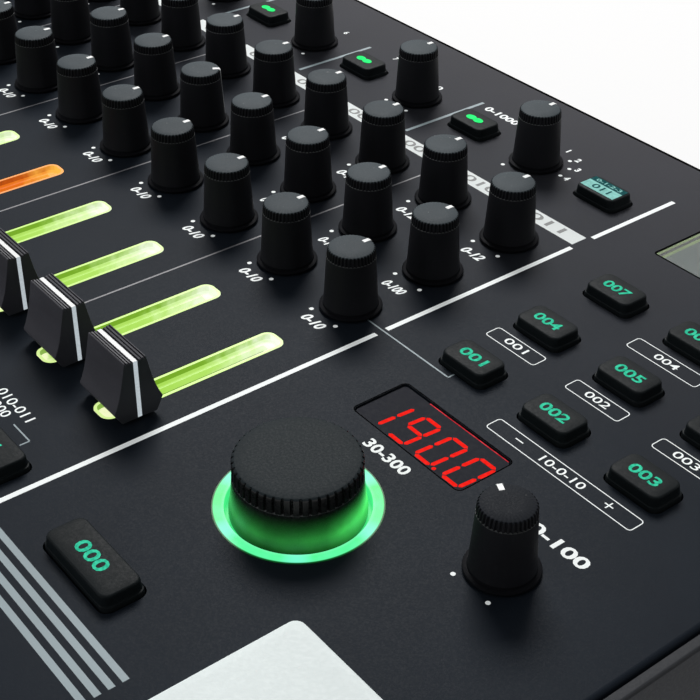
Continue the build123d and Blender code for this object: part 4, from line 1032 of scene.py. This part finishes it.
# ------------------------------------------------------------------ rear numbers
rear_print_y = 128.03
phone_jack_x = (62, 42, 22, 2, -18, -38, -58, -78, -98, -118, -138, -170)
rear_items = [(str(k + 1), x, 30.0, 2.4) for k, x in enumerate(phone_jack_x)]
rear_items += [("1", 118.0, 36.0, 2.4), ("2", 92.0, 36.0, 2.4), ("0", 182.0, 30.5, 2.2), ("1", 188.0, 30.5, 2.2)]
rear_points, rear_faces = [], []
for words, x, z, height in rear_items:
    ink = Ink(white_ink, 0.0)
    ink.text(words, 0.0, 0.0, height, 0.015)
    start = len(rear_points)
    rear_points += [(x - a, rear_print_y, z + b) for a, b, _ in ink.points]
    rear_faces += [tuple(index + start for index in face) for face in ink.faces]
build("rear_numbers", rear_points, rear_faces, [white_ink], "case")

# ------------------------------------------------------------------ floor and world
floor_half, floor_drop = 4.0, 0.0002
floor_share = 0.78
floor_corners = [(x * floor_half, y * floor_half, 0.0) for x, y in ((-1, -1), (1, -1), (1, 1), (-1, 1))]
floor_data = bpy.data.meshes.new("floor")
floor_data.from_pydata(floor_corners, [], [(0, 1, 2, 3)])
floor = bpy.data.objects.new("floor", floor_data)
floor.location.z = -floor_drop
bpy.context.scene.collection.objects.link(floor)
floor_material = bpy.data.materials.new("pale_floor")
tree = new_tree(floor_material)
matt = tree.nodes.new("ShaderNodeBsdfDiffuse")
matt.inputs["Color"].default_value = (0.82, 0.82, 0.82, 1.0)
lit = tree.nodes.new("ShaderNodeEmission")
lit.inputs["Color"].default_value = (1.0, 1.0, 1.0, 1.0)
mixed = tree.nodes.new("ShaderNodeMixShader")
# The floor's white share grows with the distance from the object, so that no horizon shows.
away = tree.nodes.new("ShaderNodeVectorMath")
away.operation = "LENGTH"
tree.links.new(coordinates(tree), away.inputs[0])
share = remap(tree, away.outputs["Value"], 0.5, 2.5, floor_share, 1.0)
tree.links.new(math_node(tree, "MULTIPLY", plain_rays(tree), share), mixed.inputs[0])
tree.links.new(matt.outputs[0], mixed.inputs[1])
tree.links.new(lit.outputs[0], mixed.inputs[2])
finish_material(tree, mixed.outputs[0])
floor_data.materials.append(floor_material)

# Soft world light, stronger from behind the object than from the camera's side.
world = bpy.data.worlds.new("studio")
bpy.context.scene.world = world
world.use_nodes = True
tree = world.node_tree
tree.nodes.clear()
direction = tree.nodes.new("ShaderNodeTexCoord").outputs["Generated"]
turn = tree.nodes.new("ShaderNodeVectorMath")
turn.operation = "DOT_PRODUCT"
turn.inputs[1].default_value = (-0.78, 0.62, 0.0)
tree.links.new(direction, turn.inputs[0])
dim, bright = 0.05, 0.3
level = remap(tree, turn.outputs["Value"], -0.8, 0.9, dim, bright)
strength = mix_colour(tree, plain_rays(tree), level, (1.0, 1.0, 1.0))
background = tree.nodes.new("ShaderNodeBackground")
tree.links.new(strength, background.inputs["Color"])
output = tree.nodes.new("ShaderNodeOutputWorld")
tree.links.new(background.outputs[0], output.inputs["Surface"])
